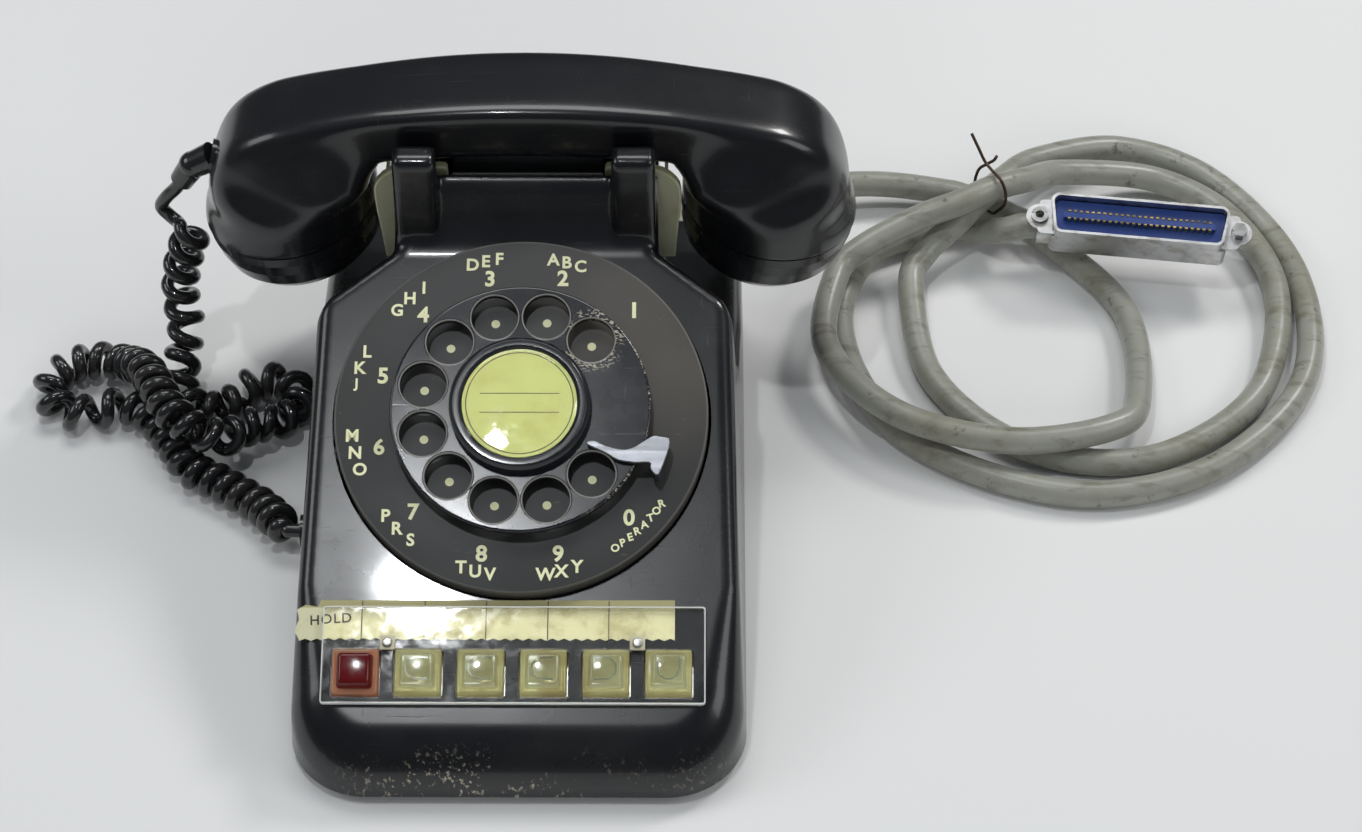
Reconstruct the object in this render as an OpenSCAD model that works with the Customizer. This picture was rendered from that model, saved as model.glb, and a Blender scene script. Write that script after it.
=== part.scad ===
// Desk telephone with a rotary dial, six line keys, a handset on a curly cord and a long line cable.
// Millimetres. The origin is on the table under the middle of the housing: X right, Y back, Z up.

/* [Housing] */
// Width of the housing at its foot
body_w = 154; // [148:1:162]
// Depth of the housing from front to back
body_d = 238; // [232:1:246]
// Width of the sloping face near the keys
face_w = 149; // [145:1:152]
// Width of the face where the shoulders start
shoulder_w = 143; // [138:1:148]
// Width of the neck under the cradle
neck_w = 92; // [90:1:96]
// Wall of the housing
wall = 3; // [2.5:0.1:3.5]
// Slope of the face in degrees
face_slope = 22; // [21:0.5:23]
// Height of the face at the middle of the dial
dial_z = 66.2; // [65:0.2:68]
// Distance of the dial's middle behind the origin
dial_y = -5.3; // [-7:0.1:-4]
// Height of the housing's lower edge above the table
foot_h = 4; // [3:0.5:5]
// Radius of the front corners seen from above
corner_r = 27; // [24:1:30]
// Radius that rounds the face into the front wall
brow_r = 13; // [11:0.5:14]
// Radius of the side edges of the face
edge_r = 5; // [4.5:0.25:6]

/* [Cradle] */
// Height of the cradle's walls
crest_z = 111; // [109:0.5:112]
// Height of the floor between the cradle's walls
trough_z = 100; // [98:0.5:101]
// Height of the two front prongs
prong_z = 125; // [122:0.5:126]
// Height of the two rear prongs
rear_prong_z = 122.5; // [121:0.5:125]
// Width of a prong
prong_w = 15; // [13:0.5:16]
// Distance of a prong's middle from the middle plane
prong_x = 37.8; // [37:0.1:38.4]
// Distance of a prong's inner face from the handset's middle plane, plus one
prong_d = 17; // [17:0.5:18]

/* [Dial] */
// Radius of the number plate
plate_r = 63.9; // [62:0.1:65]
// Height of the number plate above the face
plate_rise = 5; // [4:0.25:6]
// Gap between the number plate and the housing
plate_gap = 1; // [0.6:0.1:1.4]
// Radius of the finger wheel
wheel_r = 44.5; // [43.5:0.5:46]
// Thickness of the finger wheel
wheel_t = 3; // [2.4:0.1:3.4]
// Gap between the number plate and the finger wheel
wheel_gap = 3.5; // [3:0.1:4]
// Radius of a finger hole
hole_r = 7.9; // [7.5:0.1:8.2]
// Radius of the circle that the finger holes lie on
hole_ring_r = 34.2; // [33.5:0.1:34.8]
// Angle of the first finger hole
first_hole = 46; // [44:1:48]
// Outer radius of the card ring
card_ring_r = 24; // [23:0.25:24.5]
// Height of the card ring above the finger wheel
card_rise = 5.5; // [5:0.25:6.5]
// Radius of the number card
card_r = 19.5; // [19:0.25:20]

/* [Dial works] */
// Radius of the dial shaft
shaft_r = 4; // [3.5:0.25:4.5]
// Running clearance of shafts in their bearings
running = 0.05; // [0.03:0.01:0.08]
// Tooth size of the gears
gear_module = 1; // [0.9:0.05:1.05]
// Teeth of the main gear
main_teeth = 44; // [44]
// Teeth of the pinions
pinion_teeth = 11; // [11]
// Teeth of the pulsing wheel
pulse_teeth = 33; // [33]

/* [Keys] */
// Number of keys
key_count = 6; // [6]
// Distance from key to key
key_pitch = 20.84; // [20.4:0.1:21.2]
// Width of a key cap
key_w = 15.8; // [15:0.1:16.2]
// Offset of the key row from the middle plane
key_x = -1.3; // [-2:0.1:0]
// Distance of the key row below the dial's middle, along the face
key_v = 90.7; // [90:0.1:91.5]
// Height of a key's skirt above the face
key_rise = 4.5; // [4:0.25:5]
// Height of the raised top above the skirt
key_top = 4; // [3.5:0.25:4.5]
// Travel of a key
key_travel = 4.5; // [4:0.25:4.5]
// Thickness of the clear face plate
cover_t = 2; // [1.6:0.1:2.4]

/* [Handset] */
// Gap between the cradle's walls and the handle over them
handle_gap = 1; // [0.5:0.25:2]
// Radius of the arch along the handset's top
arch_r = 315; // [300:5:340]
// Thickness of the handle in the middle
handle_t = 24.6; // [24:0.2:25.4]
// Half of the handle's width
handle_half_w = 17.2; // [16.6:0.1:17.6]
// Radius of a cup at its seam
cup_r = 31.5; // [31:0.25:32]
// Distance of a cup's middle from the middle plane
cup_x = 85.5; // [85:0.25:86.5]
// Height of a cup's seam
cup_z = 80; // [79:0.5:81]
// Outward lean of a cup in degrees
cup_lean = 9; // [8:0.5:10]
// Height of a cap below its seam
cap_h = 20.5; // [19.5:0.5:21.5]
// Distance of the handset's middle plane behind the origin
handset_y = 89; // [88.5:0.1:89.5]

/* [Cords] */
// Diameter of the handset cord's wire
cord_d = 4.4; // [4:0.1:4.5]
// Diameter of a curl between wire centres
curl_d = 9.6; // [9:0.1:9.8]
// Diameter of the line cable
cable_d = 10; // [9:0.25:10]

/* [Hidden] */
$fn = 64;
eps = 0.01;

sin_s = sin(face_slope);
cos_s = cos(face_slope);
plate_top = foot_h + 1.8;
fit_gap = 0.3;

// Moves children from the dial's middle on the face: x right, v up the slope, h out of the face
module on_face(x = 0, v = 0, h = 0) {
    translate([0, dial_y, dial_z]) rotate([face_slope, 0, 0]) translate([x, v, h]) children();
}

// Draws children and their mirror image in the middle plane
module both_sides() {
    children();
    mirror([1, 0, 0]) children();
}

// Extrudes a profile drawn in Y and Z along X, between two X positions
module along_x(x0, x1) {
    translate([x0, 0, 0]) rotate([90, 0, 90]) linear_extrude(height = x1 - x0) children();
}

// Extrudes a profile drawn in X and Z along Y, between two Y positions
module along_y(y0, y1) {
    translate([0, y1, 0]) rotate([90, 0, 0]) linear_extrude(height = y1 - y0) children();
}

// A rectangle with round corners, of exact arcs
module round_rect(w, h, r) {
    square([w - 2 * r, h], center = true);
    square([w, h - 2 * r], center = true);
    for (sx = [-1, 1], sy = [-1, 1]) translate([sx * (w / 2 - r), sy * (h / 2 - r)]) circle(r);
}

// Height of a plane parallel to the face, h out of it, at a depth y
function face_z(y, h = 0) = dial_z + (y - dial_y) * tan(face_slope) + h / cos_s;

// Housing
// The main block: corner tori and edge balls, all touching the face from below
module ring_ball(ring, ball) {
    rotate_extrude($fn = 32) translate([ring, 0]) circle(ball, $fn = 24);
}

shoulder_y = 36;
// Where the face runs into the neck, hidden inside it
join_y = 60;
join_w = 77;
neck_front_y = 54.5;
deck_front_z = 55;
deck_rear_z = 46;
rear_r = 22;

module main_block(in = 0) {
    ring = corner_r - brow_r;
    front_y = -body_d / 2 + corner_r + 1;
    // The ball's middle lies under the face so that the face plane touches the torus
    torus_z = face_z(front_y) - (ring * sin_s + brow_r) / cos_s;
    ball_drop = edge_r / cos_s;
    hull() {
        for (sx = [-1, 1]) {
            translate([sx * (body_w / 2 - corner_r), -body_d / 2 + corner_r, foot_h - in])
                cylinder(r = corner_r - in, h = 1, $fn = 48);
            translate([sx * (face_w / 2 - corner_r), front_y, torus_z]) ring_ball(ring, brow_r - in);
            translate([sx * (face_w / 2 - edge_r), -60, face_z(-60) - ball_drop])
                sphere(edge_r - in, $fn = 24);
            translate([sx * (shoulder_w / 2 - edge_r), shoulder_y - edge_r,
                       face_z(shoulder_y - edge_r) - ball_drop])
                sphere(edge_r - in, $fn = 24);
            translate([sx * (join_w / 2 - edge_r), join_y - edge_r, face_z(join_y - edge_r) - ball_drop])
                sphere(edge_r - in, $fn = 24);
            translate([sx * (body_w / 2 - edge_r), shoulder_y - edge_r, foot_h - in])
                cylinder(r = edge_r - in, h = 1, $fn = 24);
            translate([sx * (join_w / 2 - edge_r), join_y - edge_r, foot_h - in])
                cylinder(r = edge_r - in, h = 1, $fn = 24);
        }
    }
}

// The low deck behind the shoulders, under the cups
module deck_block(in = 0) {
    deck_r = 8;
    hull() {
        for (sx = [-1, 1]) {
            translate([sx * (body_w / 2 - 1.5 - deck_r), 20, deck_front_z - deck_r])
                sphere(deck_r - in, $fn = 24);
            translate([sx * (body_w / 2 - 2 - rear_r), body_d / 2 - 2 - rear_r, deck_rear_z - deck_r])
                ring_ball(rear_r - deck_r, deck_r - in);
            translate([sx * (body_w / 2 - 6), 20, foot_h - in]) cylinder(r = 6 - in, h = 1, $fn = 24);
            translate([sx * (body_w / 2 - rear_r), body_d / 2 - rear_r, foot_h - in])
                cylinder(r = rear_r - in, h = 1, $fn = 48);
        }
    }
}

// The neck that carries the cradle
neck_rear_y = 118;
module neck_block(in = 0) {
    neck_r = 5;
    hull() {
        for (sx = [-1, 1]) {
            for (y = [64.5 + neck_r, 113.5 - neck_r])
                translate([sx * (neck_w / 2 - neck_r), y, crest_z - neck_r]) sphere(neck_r - in, $fn = 24);
            for (y = [neck_front_y + 1 + neck_r, neck_rear_y - neck_r])
                translate([sx * (neck_w / 2 - neck_r), y, 86]) sphere(neck_r - in, $fn = 24);
            for (y = [40, neck_rear_y - neck_r])
                translate([sx * (neck_w / 2 - neck_r), y, foot_h - in])
                    cylinder(r = neck_r - in, h = 1, $fn = 24);
        }
    }
}

// The trough that the handle lies in, open at both sides
module trough(grow = 0) {
    floor_z = trough_z - grow;
    along_x(-neck_w, neck_w) polygon([
        [69 - grow, prong_z + 5], [68.5 - grow, crest_z], [77 - grow, floor_z + 3], [80, floor_z],
        [98, floor_z], [101 + grow, floor_z + 3], [109.5 + grow, crest_z], [109 + grow, prong_z + 5]
    ]);
}

// One front prong, leaning back to a round tip
module prong_profile(root_y, lean, top_z) {
    tip_r = 3.2;
    tip_y = root_y + lean;
    inner_y = handset_y - prong_d + 1;
    polygon([
        [root_y, 84], [root_y, 92], [tip_y, top_z - tip_r], [tip_y + tip_r, top_z],
        [71.5 - tip_r, top_z], [71.5, top_z - tip_r], [inner_y, trough_z], [inner_y, 84]
    ]);
    translate([tip_y + tip_r, top_z - tip_r]) circle(tip_r);
    translate([71.5 - tip_r, top_z - tip_r]) circle(tip_r);
}

module prongs() {
    both_sides() along_x(prong_x - prong_w / 2, prong_x + prong_w / 2) {
        prong_profile(56, 3.5, prong_z);
        translate([2 * handset_y, 0]) mirror([1, 0]) prong_profile(60, 1, rear_prong_z);
    }
}

// The hand hold at the back of the neck; grow makes the walls round it
module hand_hold(grow = 0) {
    along_y(98 - grow, body_d) translate([0, 76]) round_rect(62 + 2 * grow, 30 + 2 * grow, 6);
}

// The slot that a plunger runs in, through the trough and the neck's side
slot_x0 = 26.5;
slot_y0 = 74.2;
slot_y1 = 92;
slot_z0 = 62;
module plunger_slots(grow = 0) {
    both_sides() translate([slot_x0 - grow, slot_y0 - grow, slot_z0])
        cube([60, slot_y1 - slot_y0 + 2 * grow, prong_z]);
}

key_hole_w = key_w + 0.8;
function key_pos(i) = key_x + (i - (key_count - 1) / 2) * key_pitch;
module key_holes(depth) {
    for (i = [0 : key_count - 1]) on_face(key_pos(i), -key_v, -depth)
        translate([-key_hole_w / 2, -key_hole_w / 2, 0]) cube([key_hole_w, key_hole_w, 2 * depth]);
}

// Bosses that take the housing screws from below
screw_r = 1.5;
boss_r = 4.5;
// Places that follow the housing's sides and rear
side_x = body_w / 2;
rear_y = body_d / 2;
boss_places = [
    [side_x - 7.5, -58], [7.5 - side_x, -58], [side_x - 13, rear_y - 13], [13 - side_x, rear_y - 13]
];
module bosses() {
    for (p = boss_places) translate([p[0], p[1], plate_top]) cylinder(r = boss_r, h = p[1] < 0 ? 15 : 38.7);
}

grommet_y = -10;
grommet_z = 12;
clamp_x = 45;
clamp_z = 15;

module housing() {
    color("#17181b") difference() {
        union() {
            difference() {
                union() {
                    main_block();
                    deck_block();
                    neck_block();
                    prongs();
                }
                trough();
                hand_hold();
                difference() {
                    union() {
                        main_block(wall);
                        deck_block(wall);
                        neck_block(wall);
                    }
                    trough(wall);
                    hand_hold(wall);
                }
            }
            bosses();
        }
        on_face(0, 0, -10) cylinder(r = plate_r + plate_gap, h = 20, $fn = 128);
        key_holes(6);
        plunger_slots();
        for (p = boss_places) translate([p[0], p[1], plate_top - eps]) cylinder(r = screw_r, h = 10);
        translate([-body_w / 2 - 5, grommet_y, grommet_z]) rotate([0, 90, 0]) cylinder(r = 4.5, h = 12);
        translate([clamp_x, body_d / 2 - 8, clamp_z]) rotate([-90, 0, 0])
            cylinder(r = cable_d / 2 + 1.5, h = 14);
        translate([-body_w, -body_d, foot_h - 40]) cube([2 * body_w, 2 * body_d, 40]);
    }
}

// Base plate, feet and screws
plate_inset = wall + 1.2;
foot_places = [
    [side_x - 17, 19 - rear_y], [17 - side_x, 19 - rear_y], [46, rear_y - 15], [-46, rear_y - 15]
];
foot_r = 7;
wheel_x = 17 - side_x;
wheel_y = 28;
module base_outline() {
    translate([-body_w / 2 + plate_inset, -body_d / 2 + corner_r])
        square([body_w - 2 * plate_inset, body_d - corner_r - rear_r]);
    for (sx = [-1, 1]) {
        translate([sx * (body_w / 2 - corner_r), -body_d / 2 + corner_r]) circle(corner_r - plate_inset);
        translate([sx * (body_w / 2 - rear_r), body_d / 2 - rear_r]) circle(rear_r - plate_inset);
    }
    translate([-body_w / 2 + corner_r, -body_d / 2 + plate_inset])
        square([body_w - 2 * corner_r, corner_r]);
    translate([-body_w / 2 + rear_r, body_d / 2 - rear_r])
        square([body_w - 2 * rear_r, rear_r - plate_inset]);
}

module base_plate() {
    color("#8d8f88") difference() {
        translate([0, 0, foot_h + 0.2]) linear_extrude(height = plate_top - foot_h - 0.2) difference() {
            base_outline();
            for (p = foot_places) translate(p) circle(3);
            for (p = boss_places) translate(p) circle(screw_r + 0.3);
            for (i = [-3 : 3]) translate([i * 9, 20]) round_rect(4, 44, 1.9);
            translate([wheel_x - 14, wheel_y - 7]) square([9.5, 14]);
        }
    }
    // The loudness wheel turns on this pin, under its head
    color("#8d8f88") translate([wheel_x, wheel_y, foot_h + 0.2]) {
        cylinder(r = 2, h = plate_top - foot_h + fit_gap + 4 + fit_gap);
        translate([0, 0, plate_top - foot_h - 0.2 + fit_gap + 4 + fit_gap]) cylinder(r = 3.4, h = 1);
    }
}

module rubber_feet() {
    color("#202020") for (p = foot_places) translate([p[0], p[1], 0]) {
        cylinder(r1 = foot_r - 1, r2 = foot_r, h = 1.2);
        translate([0, 0, 1.2]) cylinder(r = foot_r, h = foot_h + 0.2 - 1.2);
        cylinder(r = 2.9, h = plate_top + 0.8);
        translate([0, 0, plate_top + fit_gap]) cylinder(r1 = 4, r2 = 2.9, h = 1.5);
    }
}

module housing_screws() {
    color("silver") for (p = boss_places) translate([p[0], p[1], 0]) {
        translate([0, 0, foot_h - 1.6]) cylinder(r = 3, h = 1.8);
        translate([0, 0, foot_h + 0.2]) cylinder(r = screw_r - 0.1, h = 10);
    }
}

// Dial
module number_plate() {
    color("#3a3835") on_face() difference() {
        union() {
            translate([0, 0, plate_rise - 1.6]) cylinder(r = plate_r - 0.8, h = 1.6, $fn = 128);
            translate([0, 0, -2]) difference() {
                cylinder(r = plate_r, h = plate_rise + 1.4, $fn = 128);
                translate([0, 0, -eps]) cylinder(r = plate_r - 2, h = plate_rise + 2, $fn = 128);
            }
        }
        translate([0, 0, -5]) cylinder(r = 8, h = 20);
        translate(stop_slot) rotate(stop_turn) translate([-0.9, -7, -5]) cube([1.8, 14, 20]);
    }
}

// The stop stands in its slot and reaches over the wheel
stop_turn = -20;
stop_slot = [47.8, -17.4];
wheel_h = plate_rise + wheel_gap;
stop_h = wheel_h + wheel_t + 1.2;
module finger_stop() {
    stop_t = 1.3;
    color("silver") on_face() {
        translate([0, 0, stop_h]) linear_extrude(height = stop_t) polygon([
            [50, -11.2], [46.5, -11.6], [43, -13.4], [39.5, -16], [36, -17.4], [32.5, -17.3],
            [29, -15.6], [23.6, -13], [23.2, -14.6], [26, -17], [32, -21.2], [38, -23.8], [45.2, -24.6]
        ]);
        translate(stop_slot) rotate(stop_turn) translate([-0.65, -6.6, -2])
            cube([stop_t, 13.2, stop_h + 2 + eps]);
    }
}

frame_h = -4;
bridge_h = -30;
pinion_arm = gear_module * (main_teeth + pinion_teeth) / 2 + 0.25;
governor_arm = gear_module * (pulse_teeth + pinion_teeth) / 2 + 0.25;
pinion_turn = 225;
governor_turn = 295;
pinion_at = pinion_arm * [cos(pinion_turn), sin(pinion_turn)];
governor_at = pinion_at + governor_arm * [cos(governor_turn), sin(governor_turn)];
small_shaft_r = 1.5;

module dial_frame() {
    color("#9a8f6a") on_face() difference() {
        union() {
            translate([0, 0, frame_h]) cylinder(r = plate_r - 0.4, h = 2, $fn = 96);
            translate([0, 0, bridge_h]) cylinder(r = 12, h = 2);
            translate([0, 0, bridge_h]) linear_extrude(height = 2) polygon([
                [-12, 0], [-44, -10], [-30, -50], [12, -46], [20, 30], [-8, 34]
            ]);
            for (p = [[-41, -11], [8, -42], [14, 26]])
                translate([p[0], p[1], bridge_h]) cylinder(r = 3, h = frame_h - bridge_h + eps);
        }
        translate([0, 0, -40]) cylinder(r = shaft_r + running, h = 50);
        translate([pinion_at[0], pinion_at[1], bridge_h - 1]) cylinder(r = small_shaft_r + running, h = 4);
        translate([governor_at[0], governor_at[1], bridge_h - 1]) cylinder(r = small_shaft_r + running, h = 4);
        translate([pinion_at[0], pinion_at[1], frame_h - 1]) cylinder(r = small_shaft_r + running, h = 4);
        translate([governor_at[0], governor_at[1], frame_h - 1]) cylinder(r = small_shaft_r + running, h = 4);
    }
}

// Two upright brackets that carry the frame, their tops cut to its slope
module dial_brackets() {
    color("#8d8f88") both_sides() {
        along_x(50, 51.6) polygon([
            [-24, plate_top], [14, plate_top], [14, face_z(14, frame_h)], [-24, face_z(-24, frame_h)]
        ]);
        translate([43, -24, plate_top]) cube([7 + eps, 38, 1.5]);
    }
}

module finger_wheel() {
    color("#1c1d20") on_face(0, 0, wheel_h) difference() {
        union() {
            cylinder(r = wheel_r, h = wheel_t, $fn = 128);
            translate([0, 0, -wheel_gap + fit_gap]) cylinder(r = 7, h = wheel_gap);
        }
        for (i = [0 : 9]) rotate(first_hole + 30 * i) translate([hole_ring_r, 0, -1])
            cylinder(r = hole_r, h = wheel_t + 2);
        translate([0, 0, -10]) cylinder(r = shaft_r, h = 20);
    }
}

card_h = wheel_h + wheel_t;
module card_ring() {
    color("#101113") on_face(0, 0, card_h) rotate_extrude($fn = 96) polygon([
        [card_ring_r, 0], [card_ring_r, 1.6], [card_ring_r - 0.8, 3.4], [card_r + 2.2, card_rise],
        [card_r + 0.6, card_rise], [card_r + 0.2, card_rise - 0.6], [card_r + 0.2, 0]
    ]);
}

module number_card() {
    color("#c9cf86") on_face(0, 0, card_h) {
        translate([0, 0, 1]) cylinder(r = card_r, h = card_rise - 2.2);
    }
}

module card_window() {
    color([0.9, 0.95, 0.9, 0.4]) on_face(0, 0, card_h + card_rise - 1.2) cylinder(r = card_r, h = 0.7);
}

module dial_shaft() {
    color("silver") on_face() {
        translate([0, 0, bridge_h - 2]) cylinder(r = shaft_r, h = card_h + 1 - bridge_h + 2);
        translate([0, 0, bridge_h - 3]) cylinder(r = shaft_r + 2, h = 3 - fit_gap);
    }
}

// A spur gear with plain tapered teeth; turn sets the first tooth's angle
module spur_gear(teeth, thick, bore, turn = 0) {
    pitch_r = gear_module * teeth / 2;
    root_r = pitch_r - 1.25 * gear_module;
    tip_r = pitch_r + 0.85 * gear_module;
    half = 90 / teeth;
    linear_extrude(height = thick) difference() {
        union() {
            circle(root_r);
            for (i = [0 : teeth - 1]) rotate(turn + 360 / teeth * i) polygon([
                [root_r - 0.5, -root_r * sin(half * 1.15)], [pitch_r, -pitch_r * sin(half * 0.78)],
                [tip_r, -tip_r * sin(half * 0.3)], [tip_r, tip_r * sin(half * 0.3)],
                [pitch_r, pitch_r * sin(half * 0.78)], [root_r - 0.5, root_r * sin(half * 1.15)]
            ]);
        }
        circle(bore);
    }
}

gear_h = -15;
pulse_h = -20;
module main_gear() {
    color("#b08d4a") on_face(0, 0, gear_h) spur_gear(main_teeth, 3, shaft_r, pinion_turn);
}

// The pinion's teeth face the main gear between two of its teeth
module pulsing_pinion() {
    color("#b08d4a") on_face(pinion_at[0], pinion_at[1], 0) {
        translate([0, 0, gear_h - 1]) spur_gear(pinion_teeth, 5, 1, pinion_turn + 180 + 180 / pinion_teeth);
        translate([0, 0, pulse_h]) spur_gear(pulse_teeth, 2, 1, governor_turn);
        translate([0, 0, pulse_h + 2 - eps]) cylinder(r = 4, h = gear_h - 1 - pulse_h - 2 + 2 * eps);
        translate([0, 0, -9]) linear_extrude(height = 3) round_rect(9, 4, 1.9);
        translate([0, 0, bridge_h]) cylinder(r = small_shaft_r, h = frame_h + 1 - bridge_h);
    }
}

module governor() {
    color("#b08d4a") on_face(governor_at[0], governor_at[1], 0) {
        translate([0, 0, pulse_h - 1]) spur_gear(pinion_teeth, 4, 1, governor_turn + 180 + 180 / pinion_teeth);
        translate([0, 0, -27]) cylinder(r = 6, h = 4);
        for (a = [0, 180]) rotate(a) translate([5, -2, -27]) cube([5, 4, 4]);
        translate([0, 0, bridge_h]) cylinder(r = small_shaft_r, h = frame_h + 1 - bridge_h);
    }
}

module mainspring() {
    color("#5c6066") on_face(0, 0, frame_h - 7) rotate_extrude() for (i = [0 : 3])
        translate([shaft_r + 1 + 2 * i, 0]) square([1, 7 - fit_gap]);
}

// Contact blades on a block under the frame, beside the cam
module pulse_contacts() {
    color("#c9b05a") on_face(-44, 0, frame_h) {
        translate([0, -3, -9]) cube([8, 8, 9]);
        for (i = [0 : 2]) translate([0, -8, -3 - 2.4 * i]) cube([1.2, 5 + eps, 1.6]);
    }
}

// Keys
frame_side = 4.48;
key_frame_w = key_count * key_pitch + 2 * frame_side;
key_frame_half = 11.5;
key_shelf_h = -10;
key_floor_h = -19;
function side_point(dv, h) = [
    dial_y + (dv - key_v) * cos_s - h * sin_s,
    dial_z + (dv - key_v) * sin_s + h * cos_s
];

module key_frame() {
    color("#9a9c96") {
        difference() {
            on_face(key_x, -key_v, 0) {
                for (h = [key_shelf_h, key_floor_h]) translate([-key_frame_w / 2, -key_frame_half, h])
                    cube([key_frame_w, 2 * key_frame_half, 1]);
                translate([-key_frame_w / 2, key_frame_half - 1, key_floor_h])
                    cube([key_frame_w, 1, key_shelf_h - key_floor_h + 1]);
            }
            for (i = [0 : key_count - 1]) on_face(key_pos(i), -key_v, 0) {
                translate([-stem_w / 2 - 0.5, stem_v - 0.5, key_floor_h - 1])
                    cube([stem_w + 1, stem_d + 1, 20]);
                translate([0, lamp_v, key_shelf_h - 1]) cylinder(r = 2.6, h = 3);
            }
        }
        both_sides_of_keys() polygon([
            side_point(key_frame_half + 0.3, key_shelf_h + 1.3),
            side_point(-key_frame_half - 0.3, key_shelf_h + 1.3),
            side_point(-key_frame_half - 0.3, key_floor_h - 0.3),
            [-94, plate_top], [-72, plate_top]
        ]);
    }
}

// The frame's two end plates, which stand on the base plate
module both_sides_of_keys() {
    for (sx = [-1, 1]) translate([key_x + sx * (key_frame_w / 2 - 0.5), 0, 0])
        along_x(-0.8, 0.8) children();
}

stem_w = 5;
stem_d = 3;
stem_v = 3;
stem_end = -14;
lamp_v = -3;

// A clear cap with a hollow for its lamp, and the stem that runs in the frame
module key_cap(i) {
    hollow_w = key_w - 2.4;
    on_face(key_pos(i), -key_v, 0) {
        difference() {
            union() {
                translate([-key_w / 2, -key_w / 2, -2]) cube([key_w, key_w, key_rise + 2 - 0.8]);
                translate([-key_w / 2 + 0.5, -key_w / 2 + 0.5, key_rise - 0.8 - eps])
                    cube([key_w - 1, key_w - 1, 0.8 + eps]);
            }
            translate([-hollow_w / 2, -hollow_w / 2, -3]) cube([hollow_w, hollow_w, key_rise + 1.4]);
        }
        translate([-stem_w / 2, stem_v, stem_end]) cube([stem_w, stem_d, key_rise - 1 - stem_end]);
    }
}

module key_lens(i) {
    lens_w = key_w - 3.4;
    on_face(key_pos(i), -key_v, key_rise) {
        translate([-lens_w / 2, -lens_w / 2, 0]) cube([lens_w, lens_w, key_top - 0.8]);
        translate([-lens_w / 2 + 0.6, -lens_w / 2 + 0.6, key_top - 0.8 - eps])
            cube([lens_w - 1.2, lens_w - 1.2, 0.8 + eps]);
    }
}

module line_button(i) {
    color([0.8, 0.78, 0.55, 0.7]) {
        key_cap(i);
        key_lens(i);
    }
}
module hold_button() { color([0.8, 0.6, 0.5, 0.7]) key_cap(0); }
module hold_lens() { color("#7a1018") key_lens(0); }
module line_button_1() { line_button(1); }
module line_button_2() { line_button(2); }
module line_button_3() { line_button(3); }
module line_button_4() { line_button(4); }
module line_button_5() { line_button(5); }

// The latch bar hangs under the shelf, with a long slot round each stem
latch_travel = 1.5;
latch_end = 5;
module latch_bar() {
    color("#b9bbb4") difference() {
        on_face(key_x, -key_v, 0) translate([latch_end - key_frame_w / 2, 0.5, key_shelf_h - 1 - fit_gap])
            cube([key_frame_w - 2 * latch_end, 8, 1]);
        for (i = [0 : key_count - 1]) on_face(key_pos(i), -key_v, 0)
            translate([-stem_w / 2 - latch_travel - 1, stem_v - 0.5, key_shelf_h - 3])
                cube([stem_w + 2 * latch_travel + 2, stem_d + 1, 5]);
    }
}

module face_plate() {
    color([0.85, 0.9, 0.9, 0.35]) difference() {
        on_face(-0.9, -84.4, 0.6) linear_extrude(height = cover_t) round_rect(128, 33.6, 1);
        key_holes(20);
    }
}

clip_w = 4.3;
clip_places = [[-43, -80.6], [40.4, -80.6]];
module face_plate_clips() {
    color("#c8c4b8") for (p = clip_places) on_face(p[0], p[1], 0.6 + cover_t) {
        translate([-clip_w / 2, -2.2, 0]) cube([clip_w, 4.8, 0.8]);
        translate([0, 0, 0.8 - eps]) cylinder(r = 1.7, h = 0.9);
    }
}

module designation_strip() {
    color("#e8e2bd") on_face(0, 0, 0.15) linear_extrude(height = 0.3) polygon([
        [52.8, -64.8], [-66, -65], [-67, -67.4], [-71, -66.6], [-74, -68.4], [-73.2, -72], [-74.4, -76],
        [-73, -79], [52.8, -79]
    ]);
}

module key_lamps() {
    color("#d8c890") for (i = [0 : key_count - 1]) on_face(key_pos(i), -key_v + lamp_v, key_shelf_h - 6) {
        cylinder(r = 2.3, h = 10);
        translate([0, 0, 10]) sphere(2.3);
    }
}

module key_contacts() {
    color("#c9b05a") for (i = [0 : key_count - 1]) on_face(key_pos(i), -key_v, key_floor_h + 1) {
        translate([3.2, -9, 0]) cube([4, 5, 5]);
        for (j = [0 : 2]) translate([3.6, -4 - eps, 0.6 + 1.4 * j]) cube([3, 9, 0.5]);
    }
}

// Handset
// The handle's sections fan about a pivot under each end until they face down into the cup
fan_x = 49.5;
fan_z = 97;
fan = [ // turn, inner reach, outer reach, half width, squareness, squareness of the ridge, draw at the top
    [15, 9.5, 35.3, 17, 3.8, 7, 0.035], [30, 8, 37.2, 19.4, 3.7, 7, 0.144], [45, 7, 42, 22.6, 3.6, 6.5, 0.243],
    [57, 6.4, 48.6, 26, 3.4, 6, 0.327], [67, 6.1, 54.6, 28.6, 3.1, 5.4, 0.374], [75, 6, 58.6, 30.2, 2.8, 5, 0.387],
    [83, 5.9, 61.4, 31.2, 2.5, 4.2, 0.343], [91, 5.9, 63.8, 31.8, 2.2, 2.7, 0.14],
    [90 + cup_lean, 5.9, 65.9, 32, 2, 2, 0]
];
ring_points = 24;
handset_top = crest_z + handle_gap + handle_t;
function arch_z(x) = handset_top - x * x / (2 * arch_r);
function under_z(x) = handset_top - handle_t - x * x / 700;
function signed_pow(v, p) = sign(v) * pow(abs(v), p);

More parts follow.
